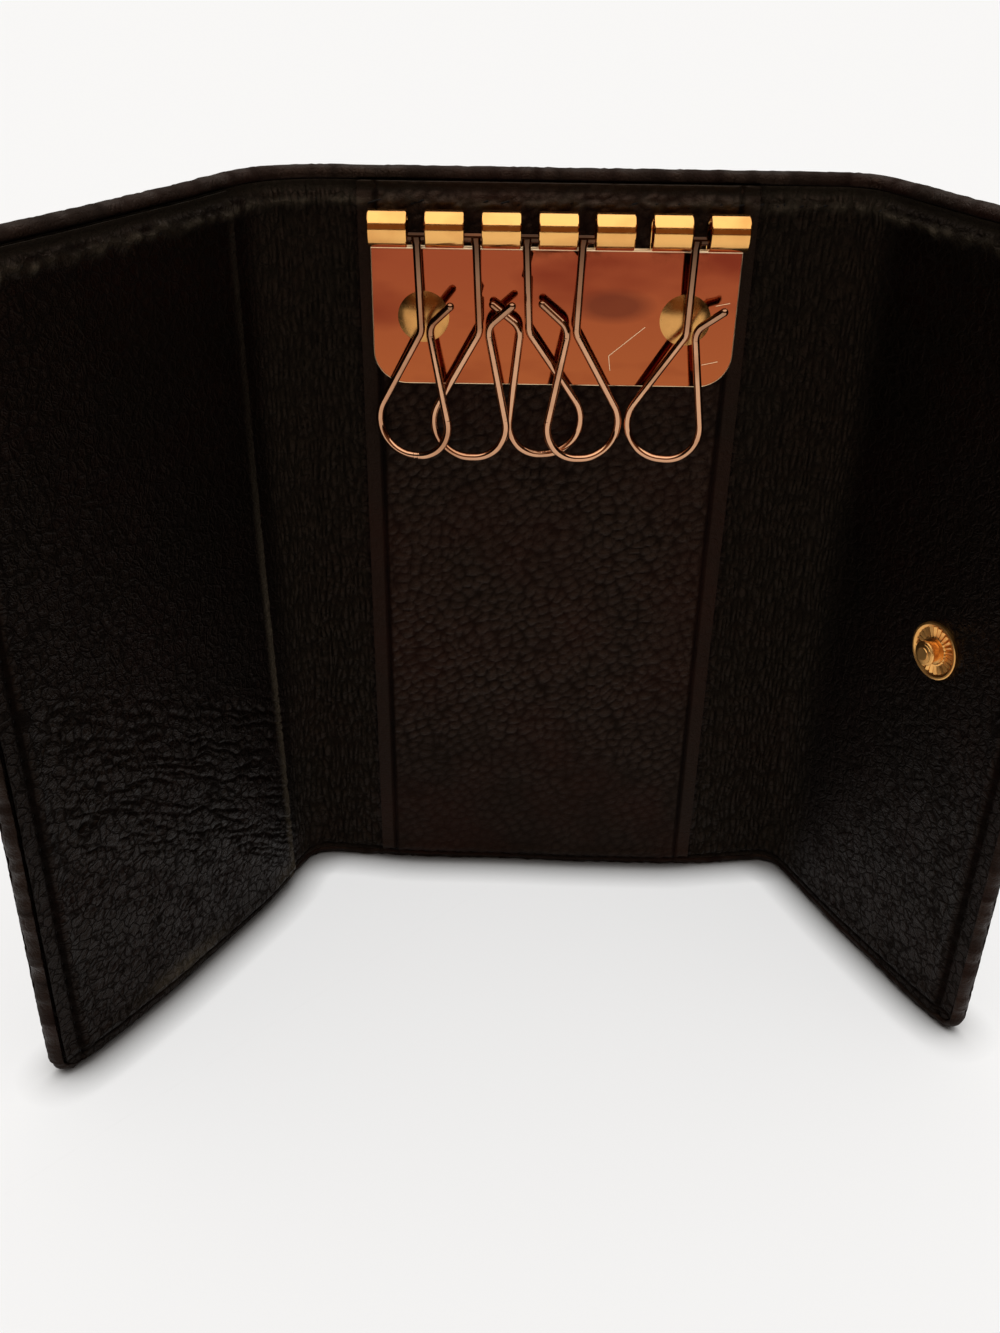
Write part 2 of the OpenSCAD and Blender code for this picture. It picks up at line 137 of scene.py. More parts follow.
# The camera stands where the photograph was taken
view = {"place": (-8.06, -177.65, 143.78), "pitch": 30.56, "yaw": -0.465, "roll": 0.986, "lens": 34.541}

cameraData = bpy.data.cameras.new("photoCamera")
cameraData.lens = view["lens"]
cameraData.sensor_width = 36
cameraData.clip_start = 0.005
camera = bpy.data.objects.new("photoCamera", cameraData)
bpy.context.scene.collection.objects.link(camera)
camera.matrix_world = (Matrix.Translation(Vector(view["place"]) / 1000)
                       @ Matrix.Rotation(math.radians(view["yaw"]), 4, "Z")
                       @ Matrix.Rotation(math.radians(90 - view["pitch"]), 4, "X")
                       @ Matrix.Rotation(math.radians(view["roll"]), 4, "Z"))
bpy.context.scene.camera = camera

# The case in millimetres: s runs along the lining's face from the middle of the strip to the
# right, z up, and depth outwards, from 0 on the lining's face to 2.6 on the outer leather's
case = {
    "height": 115, "faceY": -1.3, "foldRadius": 2,
    "leftFold": -36.75, "rightFold": 39.85, "leftOpen": 60, "rightOpen": 64,
    "leftInner": -30.1, "rightInner": 27.4, "innerReach": 2.1, "leftSeam": -33.4, "rightSeam": 33.6,
    "leftEnd": -96.24, "rightEnd": 85.83,
    # how far the lower edge bows outwards, by s
    "bow": [(-100, 1.3), (-94.2, 0.95), (-86.3, -0.2), (-74.5, -0.8), (-65, -0.7), (-52.2, -0.6),
            (-41.8, 0.7), (-35, 1.3), (-27, 0.6), (-20, 0.2), (-6, -0.1), (8, -0.7), (22, -0.95),
            (29, -0.8), (39, 0.5), (46.5, 0.46), (58.3, -0.14), (68.5, -0.2), (77.9, -0.2), (83.3, 0.4)],
    "bowTop": 55,  # the bow has faded out at this height
    # and how far the flaps lean inwards at the top
    "lean": [(-100, 1.7), (-75, 1.8), (-55, 1.2), (-40, 0), (38, 0), (50, 0.8), (62, 1.4), (90, 1.4)],
    # radius of the bends at the bottom, and towards the top, where they are rounder
    "softLow": 3.4, "softLeft": 13, "softRight": 7,
}


def smooth(a, b, x):
    t = np.clip((x - a) / (b - a), 0, 1)
    return t * t * (3 - 2 * t)


bowS = np.arange(-104, 94, 0.5)
bowMm = np.interp(bowS, *zip(*case["bow"]))
kernel = np.exp(-np.linspace(-2, 2, 17) ** 2)
bowMm = np.convolve(np.pad(bowMm, 8, "edge"), kernel / kernel.sum(), "valid")


def bow(s, z):
    low = np.interp(s, bowS, bowMm) * (1 - smooth(0, case["bowTop"], z))
    return low - np.interp(s, *zip(*case["lean"])) * smooth(64, 115, z)


def place(s, z, depth):
    s, z, depth = np.broadcast_arrays(np.asarray(s, float), z, depth)
    left = s < 0
    fold = np.where(left, -case["leftFold"], case["rightFold"])
    turn = np.radians(np.where(left, case["leftOpen"], case["rightOpen"]))
    soft = np.where(left, case["softLeft"], case["softRight"])
    r = case["softLow"] + (soft - case["softLow"]) * smooth(25, 108, z)
    early = (r - case["foldRadius"]) * np.tan(turn / 2)  # a rounder bend starts earlier and ends later
    along = np.abs(s) - fold + early
    bend = 2 * early + case["foldRadius"] * turn
    angle = turn * np.clip(along / bend, 0, 1)
    straight = np.maximum(along - bend, 0)
    out = r + depth + bow(s, z)
    x = np.minimum(np.abs(s), fold - early) + out * np.sin(angle) + straight * np.cos(turn)
    y = case["faceY"] - r + out * np.cos(angle) - straight * np.sin(turn)
    return np.stack([np.where(left, -x, x), y, z], -1) / 1000


# Leather's relief, in millimetres
scatter = np.random.default_rng(7).uniform(0.1, 0.9, (64, 64, 2))
rough = np.random.default_rng(11).uniform(-1, 1, (64, 64))


def cells(a, b):
    ia, ib = np.floor(a).astype(int), np.floor(b).astype(int)
    best = np.full(a.shape, 9.0)
    second = best.copy()
    for da in (-1, 0, 1):
        for db in (-1, 0, 1):
            p = scatter[(ia + da) % 64, (ib + db) % 64]
            far = np.hypot(ia + da + p[..., 0] - a, ib + db + p[..., 1] - b)
            second = np.where(far < best, best, np.minimum(second, far))
            best = np.minimum(best, far)
    return best, second - best  # to the cell's middle, and twice the way to its border


def drift(a, b):
    ia, ib = np.floor(a).astype(int), np.floor(b).astype(int)
    fa, fb = [f * f * (3 - 2 * f) for f in (a - ia, b - ib)]
    corner = lambda da, db: rough[(ia + da) % 64, (ib + db) % 64]
    return ((corner(0, 0) * (1 - fa) + corner(1, 0) * fa) * (1 - fb)
            + (corner(0, 1) * (1 - fa) + corner(1, 1) * fa) * fb)


grain = {
    "pebbleWide": 1.85, "pebbleHigh": 1.35, "pebbleLean": 30, "pebbleRise": 0.22, "valley": 0.24,
    "ribWide": 0.8, "ribTall": 3.9, "ribRise": 0.34, "ribFan": 0.2,
    "creaseHigh": 2.35, "creaseRise": 0.4, "creaseSlope": 0.68, "creaseFan": 0.005,
    "full": 0.28,  # a pebble of this height counts as a top
}
leanCos, leanSin = [f(math.radians(grain["pebbleLean"])) for f in (math.cos, math.sin)]


def pebbles(s, z):
    a = (s * leanCos + z * leanSin) / grain["pebbleWide"] + 0.35 * drift(s / 4, z / 4)
    b = (z * leanCos - s * leanSin) / grain["pebbleHigh"] + 0.4 * drift(s / 4 + 20, z / 4 + 9)
    middle, border = cells(a, b)
    fineBorder = cells(a * 1.9 + 31, b * 1.9 + 17)[1]
    dome = 1 - np.exp(-border / grain["valley"]) - 0.9 * middle ** 2
    lively = 0.85 + 0.35 * drift(s / 5 + 3, z / 4 + 8)
    return grain["pebbleRise"] * (lively * dome + 0.12 * (1 - np.exp(-fineBorder / 0.25))
                                  + 0.25 * drift(s / 0.9 + 4, z / 0.9 + 6))


def wrinkles(s, z):  # the flatter grain of the flaps: fine cracks with no clear pebbles
    a = s / 1.6 + 0.7 * drift(s / 2.5 + 9, z / 2.5) + 0.35 * drift(s / 1.1, z / 1.1 + 3)
    b = z / 1.3 + 0.7 * drift(s / 2.5 + 29, z / 2.5 + 9) + 0.35 * drift(s / 1.1 + 33, z / 1.1)
    middle, border = cells(a + 13, b + 5)
    opened = smooth(-0.6, 0.4, drift(s / 3.5 + 17, z / 2.2 + 21))
    soft = 0.5 + 0.5 * drift(s / 0.8 + 2, z / 1.3 + 11)
    return grain["pebbleRise"] * (0.9 - 0.8 * opened * np.exp(-border / 0.14) + 0.25 * soft - 0.3 * middle ** 2)


def ribs(s, z):
    seam = np.where(s < 0, case["leftSeam"], case["rightSeam"])
    s = seam + (s - seam) * (1 - grain["ribFan"] * np.exp(-z / 12))  # they spread at the foot
    a = s / grain["ribWide"] + 0.6 * drift(s / 3 + 5, z / 7) + 0.25 * drift(s / 1.5, z / 3 + 40)
    b = z / grain["ribTall"] + 0.5 * drift(s / 2 + 11, z / 9 + 3)
    middle, border = cells(a + 3, b + 7)
    return grain["ribRise"] * (1 - np.exp(-border / 0.36) - 0.5 * middle ** 2 + 0.15 * drift(s / 0.5, z / 0.9))


def fromCorner(s, z):  # along the left flap from its bend, and up across the creases that fan out of its foot
    along = case["leftFold"] - s
    return along, (z - grain["creaseSlope"] * along) / (1 - grain["creaseFan"] * along)


def creases(s, z):
    along, rise = fromCorner(s, z)
    sunk = 0
    for k, wander in ((0, 0.55), (0.5, 0.95)):
        line = (rise / grain["creaseHigh"] + k + wander * drift(along / 11 + 7 * k, rise / 6 + 3)
                + 0.42 * drift(along / 2.8, rise / 3 + 9 * k) + 0.2 * drift(along / 1.2 + 4, rise / 2 + 5 * k))
        away = np.abs(line - np.round(line)) * grain["creaseHigh"]
        drawn = smooth(-0.25, 0.25, drift(along / 5 + 5.3 * np.round(line) + 20 * k, np.round(line) * 3.7))
        sunk = np.maximum(sunk, drawn * (0.78 * np.exp(-(away / 0.24) ** 2) + 0.22 * np.exp(-away / 0.8)))
    middle, border = cells(along / 2.6 + 0.3 * drift(along / 3, rise / 3), rise / 2.9 + 11)
    return grain["creaseRise"] * (1 - sunk - 0.4 * np.exp(-border / 0.12) - 0.15 * middle)


def creaseShare(s, z):
    along, rise = fromCorner(s, z)
    return smooth(-3, 4, rise) * (1 - smooth(31, 39, rise)) * smooth(2, 9, along) * (1 - smooth(49, 55, along))


def ribbed(s):
    return (smooth(-45, -40, s) * (1 - smooth(-27.4, -26.6, s))
            + smooth(26.6, 27.4, s) * (1 - smooth(43, 50, s)))


def grainRelief(s, z):
    ribShare = ribbed(s)
    drawn = creaseShare(s, z)
    onFlap = wrinkles(s, z) * (1 - 0.45 * drawn) + creases(s, z) * drawn
    onFlap = np.where(np.abs(s) > 38, 0.75 * onFlap + 0.25 * pebbles(s, z) * (1 - drawn), onFlap)
    return onFlap * (1 - ribShare) + ribs(s, z) * ribShare


def groove(x, wide, deep):
    return deep * np.exp(-(x / wide) ** 2)


# Skins: a relief on the seen face, rounded edges, and a coarse hidden face
def spread(start, end, step, dense=()):
    # lines from start to end about a step apart, closer in the dense stretches
    lines = [start]
    while lines[-1] < end - 0.01:
        here = lines[-1]
        width = min([w for a, b, w in dense if a - 0.01 <= here < b] + [step])
        lines.append(here + width)
    lines = np.array(lines)
    return start + (lines - start) * (end - start) / (lines[-1] - start)


def skin(name, columns, rows, free, relief, rings, hiddenDepth, corner={}, hem=1, lumpy=0, onto=place):
    # free holds "low" and "high" where the first or last column is an open edge, and rings are
    # (inset, depth) steps round the edge from the seen face to the hidden one
    nc, nr = len(columns), len(rows)
    S, Z = np.meshgrid(columns, rows, indexing="ij")
    inward = np.zeros(S.shape + (2,))
    inward[:, 0] = (0, 1)
    inward[:, -1] = (0, -1)
    for side, index, sign in (("low", 0, 1), ("high", -1, -1)):
        if side not in free:
            continue
        inward[index, :] = (sign, 0)
        bend = corner[side]
        midS = columns[index] + sign * bend
        for base, way in ((rows[0], 1), (rows[-1], -1)):
            midZ = base + way * bend
            a, b = sign * (midS - S) / bend, way * (midZ - Z) / bend
            inside = (a > 0) & (b > 0)
            a, b = np.clip(a, 0, 1), np.clip(b, 0, 1)
            newA, newB = a * np.sqrt(1 - b * b / 2), b * np.sqrt(1 - a * a / 2)
            S = np.where(inside, midS - sign * bend * newA, S)
            Z = np.where(inside, midZ - way * bend * newB, Z)
            toMiddle = np.stack([sign * newA, way * newB], -1)
            inward = np.where(inside[..., None], toMiddle / np.maximum(
                np.linalg.norm(toMiddle, axis=-1, keepdims=True), 1e-9), inward)
    depth, tone, worn = relief(S, Z)
    points = [onto(S, Z, depth).reshape(-1, 3)]
    uvs = [np.stack([S, Z], -1).reshape(-1, 2)]
    tones, wearAndHighlights = [tone.reshape(-1)], [(worn + 0 * S).reshape(-1)]
    grid = lambda i, j: i * nr + j
    bottom = [(i, 0) for i in range(nc)]
    top = [(i, nr - 1) for i in range(nc)]
    chains, closed = [bottom, top[::-1]], False
    if "low" in free:
        chains = [bottom[::-1] + [(0, j) for j in range(1, nr - 1)] + top]
    if "high" in free:
        chains = [bottom + [(nc - 1, j) for j in range(1, nr - 1)] + top[::-1]]
    if "low" in free and "high" in free:
        chains, closed = [chains[0] + [(0, j) for j in range(nr - 2, 0, -1)]], True
    count = nc * nr
    faces, lastRing, ringsAt = [], {}, {}
    quads = np.arange(count).reshape(nc, nr)
    around = [quads[:-1, :-1], quads[1:, :-1], quads[1:, 1:], quads[:-1, 1:]]
    faces += np.stack(around, -1).reshape(-1, 4).tolist()
    for chain in chains:
        before = [grid(i, j) for i, j in chain]
        ci, cj = np.array(chain).T
        start = np.stack([S[ci, cj], Z[ci, cj]], -1)
        n = inward[ci, cj]
        way, was = 0, (0, depth[ci, cj])
        for inset, ringDepth in rings:
            lump = lumpy * np.where(start[:, 1] > 100, 0.12, 0.4) * (inset < 0.3)
            lump = lump * np.abs(drift(start[:, 0] / 1.1 + 7, start[:, 1] / 1.1 + 5))
            at = start + n * (inset + lump[:, None]) * ((1, hem) if inset > 0 else (1, 1))
            way = way + np.hypot(inset - was[0], ringDepth - was[1])
            was = (inset, ringDepth)
            wobble = 0.09 * drift(at[:, 0] / 1.6, at[:, 1] / 1.6 + inset) if inset < 0.5 else 0
            points.append(onto(at[:, 0], at[:, 1], ringDepth + wobble))
            uvs.append(start - n * np.asarray(way)[..., None] if np.ndim(way) else start - n * way)
            tones.append(0.5 + 0.3 * drift(start[:, 0] / 1.4, start[:, 1] / 1.4 + 11))
            wearAndHighlights.append(wearAndHighlights[0].reshape(nc, nr)[ci, cj] * (inset < 0.3))
            now = list(range(count, count + len(chain)))
            count += len(chain)
            pairs = zip(range(len(chain)), list(range(1, len(chain))) + ([0] if closed else []))
            faces += [(before[a], before[b], now[b], now[a]) for a, b in pairs]
            before = now
            for key, vertex in zip(chain, now):
                ringsAt.setdefault(key, []).append(vertex)
        for key, vertex in zip(chain, now):
            lastRing[key] = vertex
    deepest = hem * max(inset for inset, ringDepth in rings)
    roundest = max(list(corner.values()) + [0])
    keepI = [i for i in range(nc) if (i % 4 == 0 or i == nc - 1)
             and not ("low" in free and columns[i] < columns[0] + max(deepest, roundest) + 0.6)
             and not ("high" in free and columns[i] > columns[-1] - max(deepest, roundest) - 0.6)]
    if "low" not in free and keepI[0] != 0:
        keepI = [0] + keepI
    keepJ = [j for j in range(0, nr, 24) if rows[0] + max(deepest, roundest) + 1 < rows[j]
             < rows[-1] - max(deepest, roundest) - 1]
    hidden = {}
    for i in keepI:
        for j in keepJ:
            hidden[i, j] = count
            count += 1
            points.append(onto(S[i, j], Z[i, j], hiddenDepth)[None])
            uvs.append(np.array([[S[i, j], Z[i, j]]]))
            tones.append(np.array([0.5]))
            wearAndHighlights.append(np.array([0.0]))
    stepsI, stepsJ = list(zip(keepI, keepI[1:])), list(zip(keepJ, keepJ[1:]))
    for i0, i1 in stepsI:
        faces += [(hidden[i0, j0], hidden[i1, j0], hidden[i1, j1], hidden[i0, j1]) for j0, j1 in stepsJ]
        for edge, j in ((0, keepJ[0]), (nr - 1, keepJ[-1])):
            faces.append([lastRing[i, edge] for i in range(i0, i1 + 1)] + [hidden[i1, j], hidden[i0, j]])
    for side, index, near in (("low", 0, keepI[0]), ("high", nc - 1, keepI[-1])):
        if side in free:
            for j0, j1 in stepsJ:
                faces.append([lastRing[index, j] for j in range(j0, j1 + 1)]
                             + [hidden[near, j1], hidden[near, j0]])
            way = range(index, near + 1) if side == "low" else range(index, near - 1, -1)
            for edge, j, upright in ((0, keepJ[0], range(keepJ[0], 0, -1)),
                                     (nr - 1, keepJ[-1], range(keepJ[-1], nr - 1))):
                faces.append([lastRing[index, k] for k in upright]
                             + [lastRing[i, edge] for i in way] + [hidden[near, j]])
        else:
            for j0, j1 in stepsJ:
                faces.append([grid(index, j) for j in range(j0, j1 + 1)]
                             + [hidden[index, j1], hidden[index, j0]])
            faces.append([grid(index, j) for j in range(keepJ[0], -1, -1)] + ringsAt[index, 0]
                         + [hidden[index, keepJ[0]]])
            faces.append([grid(index, j) for j in range(keepJ[-1], nr)] + ringsAt[index, nr - 1]
                         + [hidden[index, keepJ[-1]]])
    return meshPiece(name, np.concatenate(points), faces, np.concatenate(uvs),
                     {"relief": np.concatenate(tones), "worn": np.concatenate(wearAndHighlights)})


def meshPiece(name, points, faces, uvs, values):
    mesh = bpy.data.meshes.new(name)
    mesh.from_pydata(points.tolist(), [], faces)
    corners = np.zeros(len(mesh.loops), np.int32)
    mesh.loops.foreach_get("vertex_index", corners)
    layer = mesh.uv_layers.new(name="hide")  # u and v in millimetres along the leather
    layer.data.foreach_set("uv", uvs[corners].astype(np.float32).reshape(-1))
    for key, value in values.items():
        mesh.attributes.new(key, "FLOAT", "POINT").data.foreach_set("value", value.astype(np.float32))
    work = bmesh.new()
    work.from_mesh(mesh)
    bmesh.ops.recalc_face_normals(work, faces=work.faces)
    work.to_mesh(mesh)
    work.free()
    piece = bpy.data.objects.new(name, mesh)
    bpy.context.scene.collection.objects.link(piece)
    bpy.ops.object.select_all(action="DESELECT")
    piece.select_set(True)
    bpy.context.view_layer.objects.active = piece
    bpy.ops.object.shade_smooth_by_angle(angle=math.radians(60))
    bpy.ops.object.select_all(action="DESELECT")
    return piece


# Materials
def leatherMaterial(name, colours, roughness, shine, crackTone):
    # Cowhide with a pebbled grain, drum dyed near black and finished with a thin satin coat. The
    # pebbles are in the mesh; pores and hair lines of 0.3 to 0.6 mm, finer than the mesh, are here.
    # The tops are lighter and glossier than the valleys, partly from wear and partly as painted
    # shade, which also darkens the creases and the hair cracks.
    material, tree = newMaterial(name)
    uv = addNode(tree, "ShaderNodeUVMap", {"uv_map": "hide"}).outputs[0]
    relief, worn = [addNode(tree, "ShaderNodeAttribute", {"attribute_name": key}).outputs["Fac"]
                    for key in ("relief", "worn")]
    pores = addNode(tree, "ShaderNodeTexVoronoi", {"feature": "DISTANCE_TO_EDGE"},
                    {"Vector": uv, "Scale": 1.9, "Randomness": 1.0}).outputs["Distance"]
    lines = noise(tree, uv, 2.6, 5, 0.62)
    bent = addNode(tree, "ShaderNodeTexNoise", {}, {"Vector": uv, "Scale": 0.55, "Detail": 3}).outputs["Color"]
    bent = addNode(tree, "ShaderNodeVectorMath", {"operation": "MULTIPLY_ADD"}, {0: bent, 1: (2.2, 2.2, 0), 2: uv})
    cracks = addNode(tree, "ShaderNodeTexVoronoi", {"feature": "DISTANCE_TO_EDGE"},
                     {"Vector": bent.outputs[0], "Scale": 0.62})  # hair cracks about 1.6 mm apart, 0.2 mm wide
    cracks = ranged(tree, cracks.outputs["Distance"], 0.0, 0.12, crackTone)
    height = computed(tree, "MULTIPLY_ADD", lines, 0.6, ranged(tree, pores, 0.0, 0.16))
    height = computed(tree, "MULTIPLY_ADD", cracks, 2.6, height)
    bump = addNode(tree, "ShaderNodeBump", {}, {"Height": height, "Strength": 0.35, "Distance": 0.00012})
    # painted shade: the ramp on the relief attribute makes the valleys and creases darker than the tops
    tone = addNode(tree, "ShaderNodeValToRGB", {}, {"Fac": relief})
    for index, position in enumerate((0.15, 0.95)):
        tone.color_ramp.elements[index].position = position
        tone.color_ramp.elements[index].color = linearColour(colours[index])
    warm = ranged(tree, noise(tree, uv, 0.06, 3), 0.42, 0.62, 0.0, 0.55)
    colour = mixed(tree, warm, tone.outputs[0], colours[2])
    # painted shade: the hair cracks are darkened towards the valley colour
    colour = mixed(tree, cracks, colours[0], colour)
    # mixes in the pale colour of rubbed places and of painted highlights
    colour = mixed(tree, worn, colour, colours[3])
    top = computed(tree, "MINIMUM", ranged(tree, relief, 0.25, 0.75), cracks)
    gloss = addNode(tree, "ShaderNodeMix", {}, {0: top, 2: 0.85, 3: ranged(tree, lines, 0.3, 0.7, *roughness)})
    shader = addNode(tree, "ShaderNodeBsdfPrincipled", {},
                     {"Base Color": colour, "Roughness": gloss.outputs[0], "Normal": bump.outputs[0],
                      "IOR": 1.5, "Specular IOR Level": shine, "Specular Tint": linearColour("#E8BA9C")})
    finishMaterial(tree, shader)
    return material


# colours are those of the valleys, the tops, the warm patches and the rubbed and highlighted places
outerLeather = leatherMaterial("pebbledCowhide", ("#030202", "#160E0A", "#1E0B08", "#6A5448"),
                               (0.28, 0.42), 0.24, 0.6)
# painted shade: the lining's colours are darker than the strip's for the shade on the flaps
liningLeather = leatherMaterial("pebbledCowhideLining", ("#010101", "#090604", "#100504", "#6A6050"),
                                (0.24, 0.38), 0.125, 0.0)
# painted light: the strip's colours are lighter than the lining's for the light it catches
stripLeather = leatherMaterial("pebbledCowhideStrip", ("#040303", "#241A14", "#26120D", "#6A6050"),
                               (0.3, 0.45), 0.24, 0.7)


def goldMaterial(name, colours, span, scratch, roughness, stretch=1, darkReflection=None):
    # Gold plated brass, pressed and barrel polished: a mirror with fine handling marks. Its tone
    # runs from the first colour to the second over the heights in span, with cloudy tarnish of the
    # third in patches about 8 mm wide, stretched where it was wiped, and perhaps one dark patch of
    # painted reflection.
    material, tree = newMaterial(name)
    coords = addNode(tree, "ShaderNodeTexCoord").outputs["Object"]
    height = addNode(tree, "ShaderNodeSeparateXYZ", {}, {0: coords}).outputs["Z"]
    tone = mixed(tree, ranged(tree, height, *span), *colours[:2])
    wiped = addNode(tree, "ShaderNodeMapping", {}, {"Vector": coords, "Scale": (1 / stretch, 1, 1)}).outputs[0]
    tone = mixed(tree, ranged(tree, noise(tree, wiped, 120, 3), 0.48, 0.72, 0.0, 0.8), tone, colours[2])
    if darkReflection:
        around = addNode(tree, "ShaderNodeMapping", {"vector_type": "TEXTURE"},
                         {"Vector": coords, "Location": darkReflection["at"], "Scale": darkReflection["size"]}).outputs[0]
        around = addNode(tree, "ShaderNodeTexGradient", {"gradient_type": "SPHERICAL"}, {"Vector": around})
        tone = mixed(tree, ranged(tree, around.outputs["Fac"], 0.0, 0.5, 0.0, 0.8), tone, darkReflection["colour"])
    rub = ranged(tree, noise(tree, coords, 900, 3), 0.35, 0.75, *roughness)
    bump = addNode(tree, "ShaderNodeBump", {},
                   {"Height": noise(tree, coords, 160, 2), "Strength": scratch, "Distance": 0.0002})
    shader = addNode(tree, "ShaderNodeBsdfPrincipled", {},
                     {"Base Color": tone, "Metallic": 1.0, "Roughness": rub, "Normal": bump.outputs[0]})
    finishMaterial(tree, shader)
    return material


polishedGold = goldMaterial("goldPlatedBrass", ("#F0B468", "#F0B468", "#D08A48"), (0, 0.1), 0.12, (0.1, 0.2))
# painted reflection: the plate's copper-brown tone and its dark patch stand for reddish surroundings and dark
# things mirrored in the flat face
reflectionTintedGold = goldMaterial("goldPlateWithPaintedReflection", ("#A85830", "#9C4A2C", "#722619"), (0.088, 0.103), 0.1,
                          (0.05, 0.12), 2.6,
                          {"at": (0.008, -0.0027, 0.0977), "size": (0.0062, 0.01, 0.0026), "colour": "#6E3422"})
# painted shade: the wire runs from rose gold to near black between 92 and 108 mm up, darkest where the hooks run up
# under the rolled tabs
roseWire = goldMaterial("roseGoldSpringWire", ("#D09C78", "#2A1A12", "#8A5638"), (0.092, 0.108), 0.05,
                        (0.06, 0.12))
coinedGold = goldMaterial("coinedGoldPlate", ("#F0B468", "#F0B468", "#D08A48"), (0, 0.1), 0.12, (0.3, 0.42))
rivetGold = goldMaterial("rivetGoldPlate", ("#D69C58", "#D69C58", "#A86C38"), (0, 0.1), 0.15, (0.2, 0.32))
# painted highlight: the plate's bevels and bend bead take this pale gold to show light on their edges; the hair
# scratches take it as bared brass
brassAndEdgeHighlight = goldMaterial("goldEdgeHighlightAndBrass", ("#FFE2B8", "#FFE2B8", "#F2C896"), (0, 0.1), 0.05, (0.32, 0.42))


def fibreMaterial(name, scale, detail, colours, roughness, shine):
    material, tree = newMaterial(name)
    coords = addNode(tree, "ShaderNodeTexCoord").outputs["Object"]
    shade = mixed(tree, noise(tree, coords, scale, detail), *colours)
    finishMaterial(tree, addNode(tree, "ShaderNodeBsdfPrincipled", {},
                                 {"Base Color": shade, "Roughness": roughness, "Specular IOR Level": shine}))
    return material


# black bonded polyester, twisted and waxed, and pulp board, pressed and left raw
threadMaterial = fibreMaterial("waxedThread", 2500, 2, ("#040303", "#120D0A"), 0.65, 0.15)
boardMaterial = fibreMaterial("greyFibreboard", 1500, 4, ("#6E675D", "#8A8175"), 0.85, 0.5)
print("materials ready")

# Lining, pocket and strip: the seen face is the front one
lining = {"edge": 1.1, "hem": 1.7}  # from the case's edge at the sides, and at the top and bottom
# the snap's parts press the leather flat: each has its place along s and its reach
snap = {"height": 57.5, "stud": (67.85, 4.1), "studSink": 0.1, "cap": (67.85, 5.55), "socket": (-70.6, 4.95),
        "outerSink": 0.05}
stitching = {"top": 4.2, "side": 3.5, "bottom": 2.6, "pitch": 2.8}


def bottomLine(s):
    return stitching["bottom"] + 0.7 * smooth(50, 85, np.abs(s)) - 0.3 * (1 - smooth(24, 40, np.abs(s)))


def borderBand(s, z, free):
    # the pressed border with its crease, and at the top the swollen ridge that the stitches lie on
    fromTop = case["height"] - z
    fromEnd = np.where(s < 0, s - case["leftEnd"], case["rightEnd"] - s) if free else np.full(s.shape, 99.0)
    ripple = 0.5 + 0.5 * np.cos(2 * math.pi * (s / stitching["pitch"] + z / 3.1))
    x = fromTop - stitching["top"]
    depth = groove(x + 1.7, 0.55, 0.35) + 0.15 * (1 - smooth(-1.6, -0.8, x))
    ridge = np.exp(-((x - 0.1 - 0.4 * drift(s / 2.2, z / 2)) / 0.7) ** 2)
    uneven = 0.5 + 0.5 * drift(s / 1.3 + 6, z / 1.3)
    depth = depth - (0.2 + 0.14 * ripple + 0.3 * uneven) * ridge
    # painted highlight: the top ridge and the band along the top edge are paler, as if lit from above
    worn = (0.06 + 0.36 * uneven ** 2) * ridge + 0.1 * (1 - smooth(-2, -0.8, x))
    for x in (fromEnd - stitching["side"], z - bottomLine(s)):
        holes = 0.65 + 0.35 * np.cos(2 * math.pi * (s + z) / stitching["pitch"])
        depth = depth + 0.22 * (1 - smooth(-0.4, 0.5, x)) + groove(x, 0.3, 0.5) * holes
        depth = depth - 0.2 * np.exp(-((x - 1.2) / 0.8) ** 2)
    return depth, np.minimum(np.minimum(fromTop - 2.4, fromEnd - stitching["side"]), z - bottomLine(s)), worn


def liningFace(level, free):
    def relief(s, z):
        band, inside, worn = borderBand(s, z, free)
        bumps = grainRelief(s, z)
        share = 0.35 + 0.65 * smooth(-0.5, 1.0, inside)
        at, reach = snap["stud"]
        under = np.exp(-(np.hypot(s - at, z - snap["height"]) / reach) ** 10)
        share = share * (1 - under)
        # painted shade: the valleys are darker than the tops, and a dark line is painted along the inner edge of
        # the border
        tone = ((0.2 + 0.8 * np.clip(bumps / grain["full"], 0, 1)) * share + 0.6 * (1 - share)
                - 0.9 * np.exp(-(inside / 0.35) ** 2))
        return level + band - bumps * share + snap["studSink"] * under, np.clip(tone, 0, 1), worn + 0.05 * ribbed(s)
    return relief


meshStep = {"fine": 0.32, "hidden": 0.55, "outer": 0.5, "pocketAcross": 0.27, "pocketUp": 0.36}
edgeRows = [(0, 4.2, 0.2), (109, 115, 0.2)]
rows = spread(lining["hem"], case["height"] - lining["hem"], meshStep["fine"], edgeRows)
foldLeft = (case["leftFold"] - 2.3, case["leftFold"] + 0.2, 0.16)
foldRight = (case["rightFold"] - 0.2, case["rightFold"] + 2.4, 0.16)
innerLeft = (case["leftInner"] - 1.7, case["leftInner"] + 1.7, 0.2)
innerRight = (case["rightInner"] - 1.7, case["rightInner"] + 1.7, 0.2)


def foldEnds(fold, sign, turn):
    r = case["foldRadius"]
    a = math.radians(turn)
    return ((fold / 1000, case["faceY"] / 1000, 0.05),
            ((fold + sign * r * math.sin(a)) / 1000, (case["faceY"] - r + r * math.cos(a)) / 1000, 0.05))


leftBend = foldEnds(case["leftFold"], -1, case["leftOpen"])
rightBend = foldEnds(case["rightFold"], 1, case["rightOpen"])
innerBendLeft, innerBendRight = [
    tuple(((case[inner] + sign * case["innerReach"]) / 1000, 0, 0.05) for sign in signs)
    for inner, signs in (("leftInner", (1, -1)), ("rightInner", (-1, 1)))]

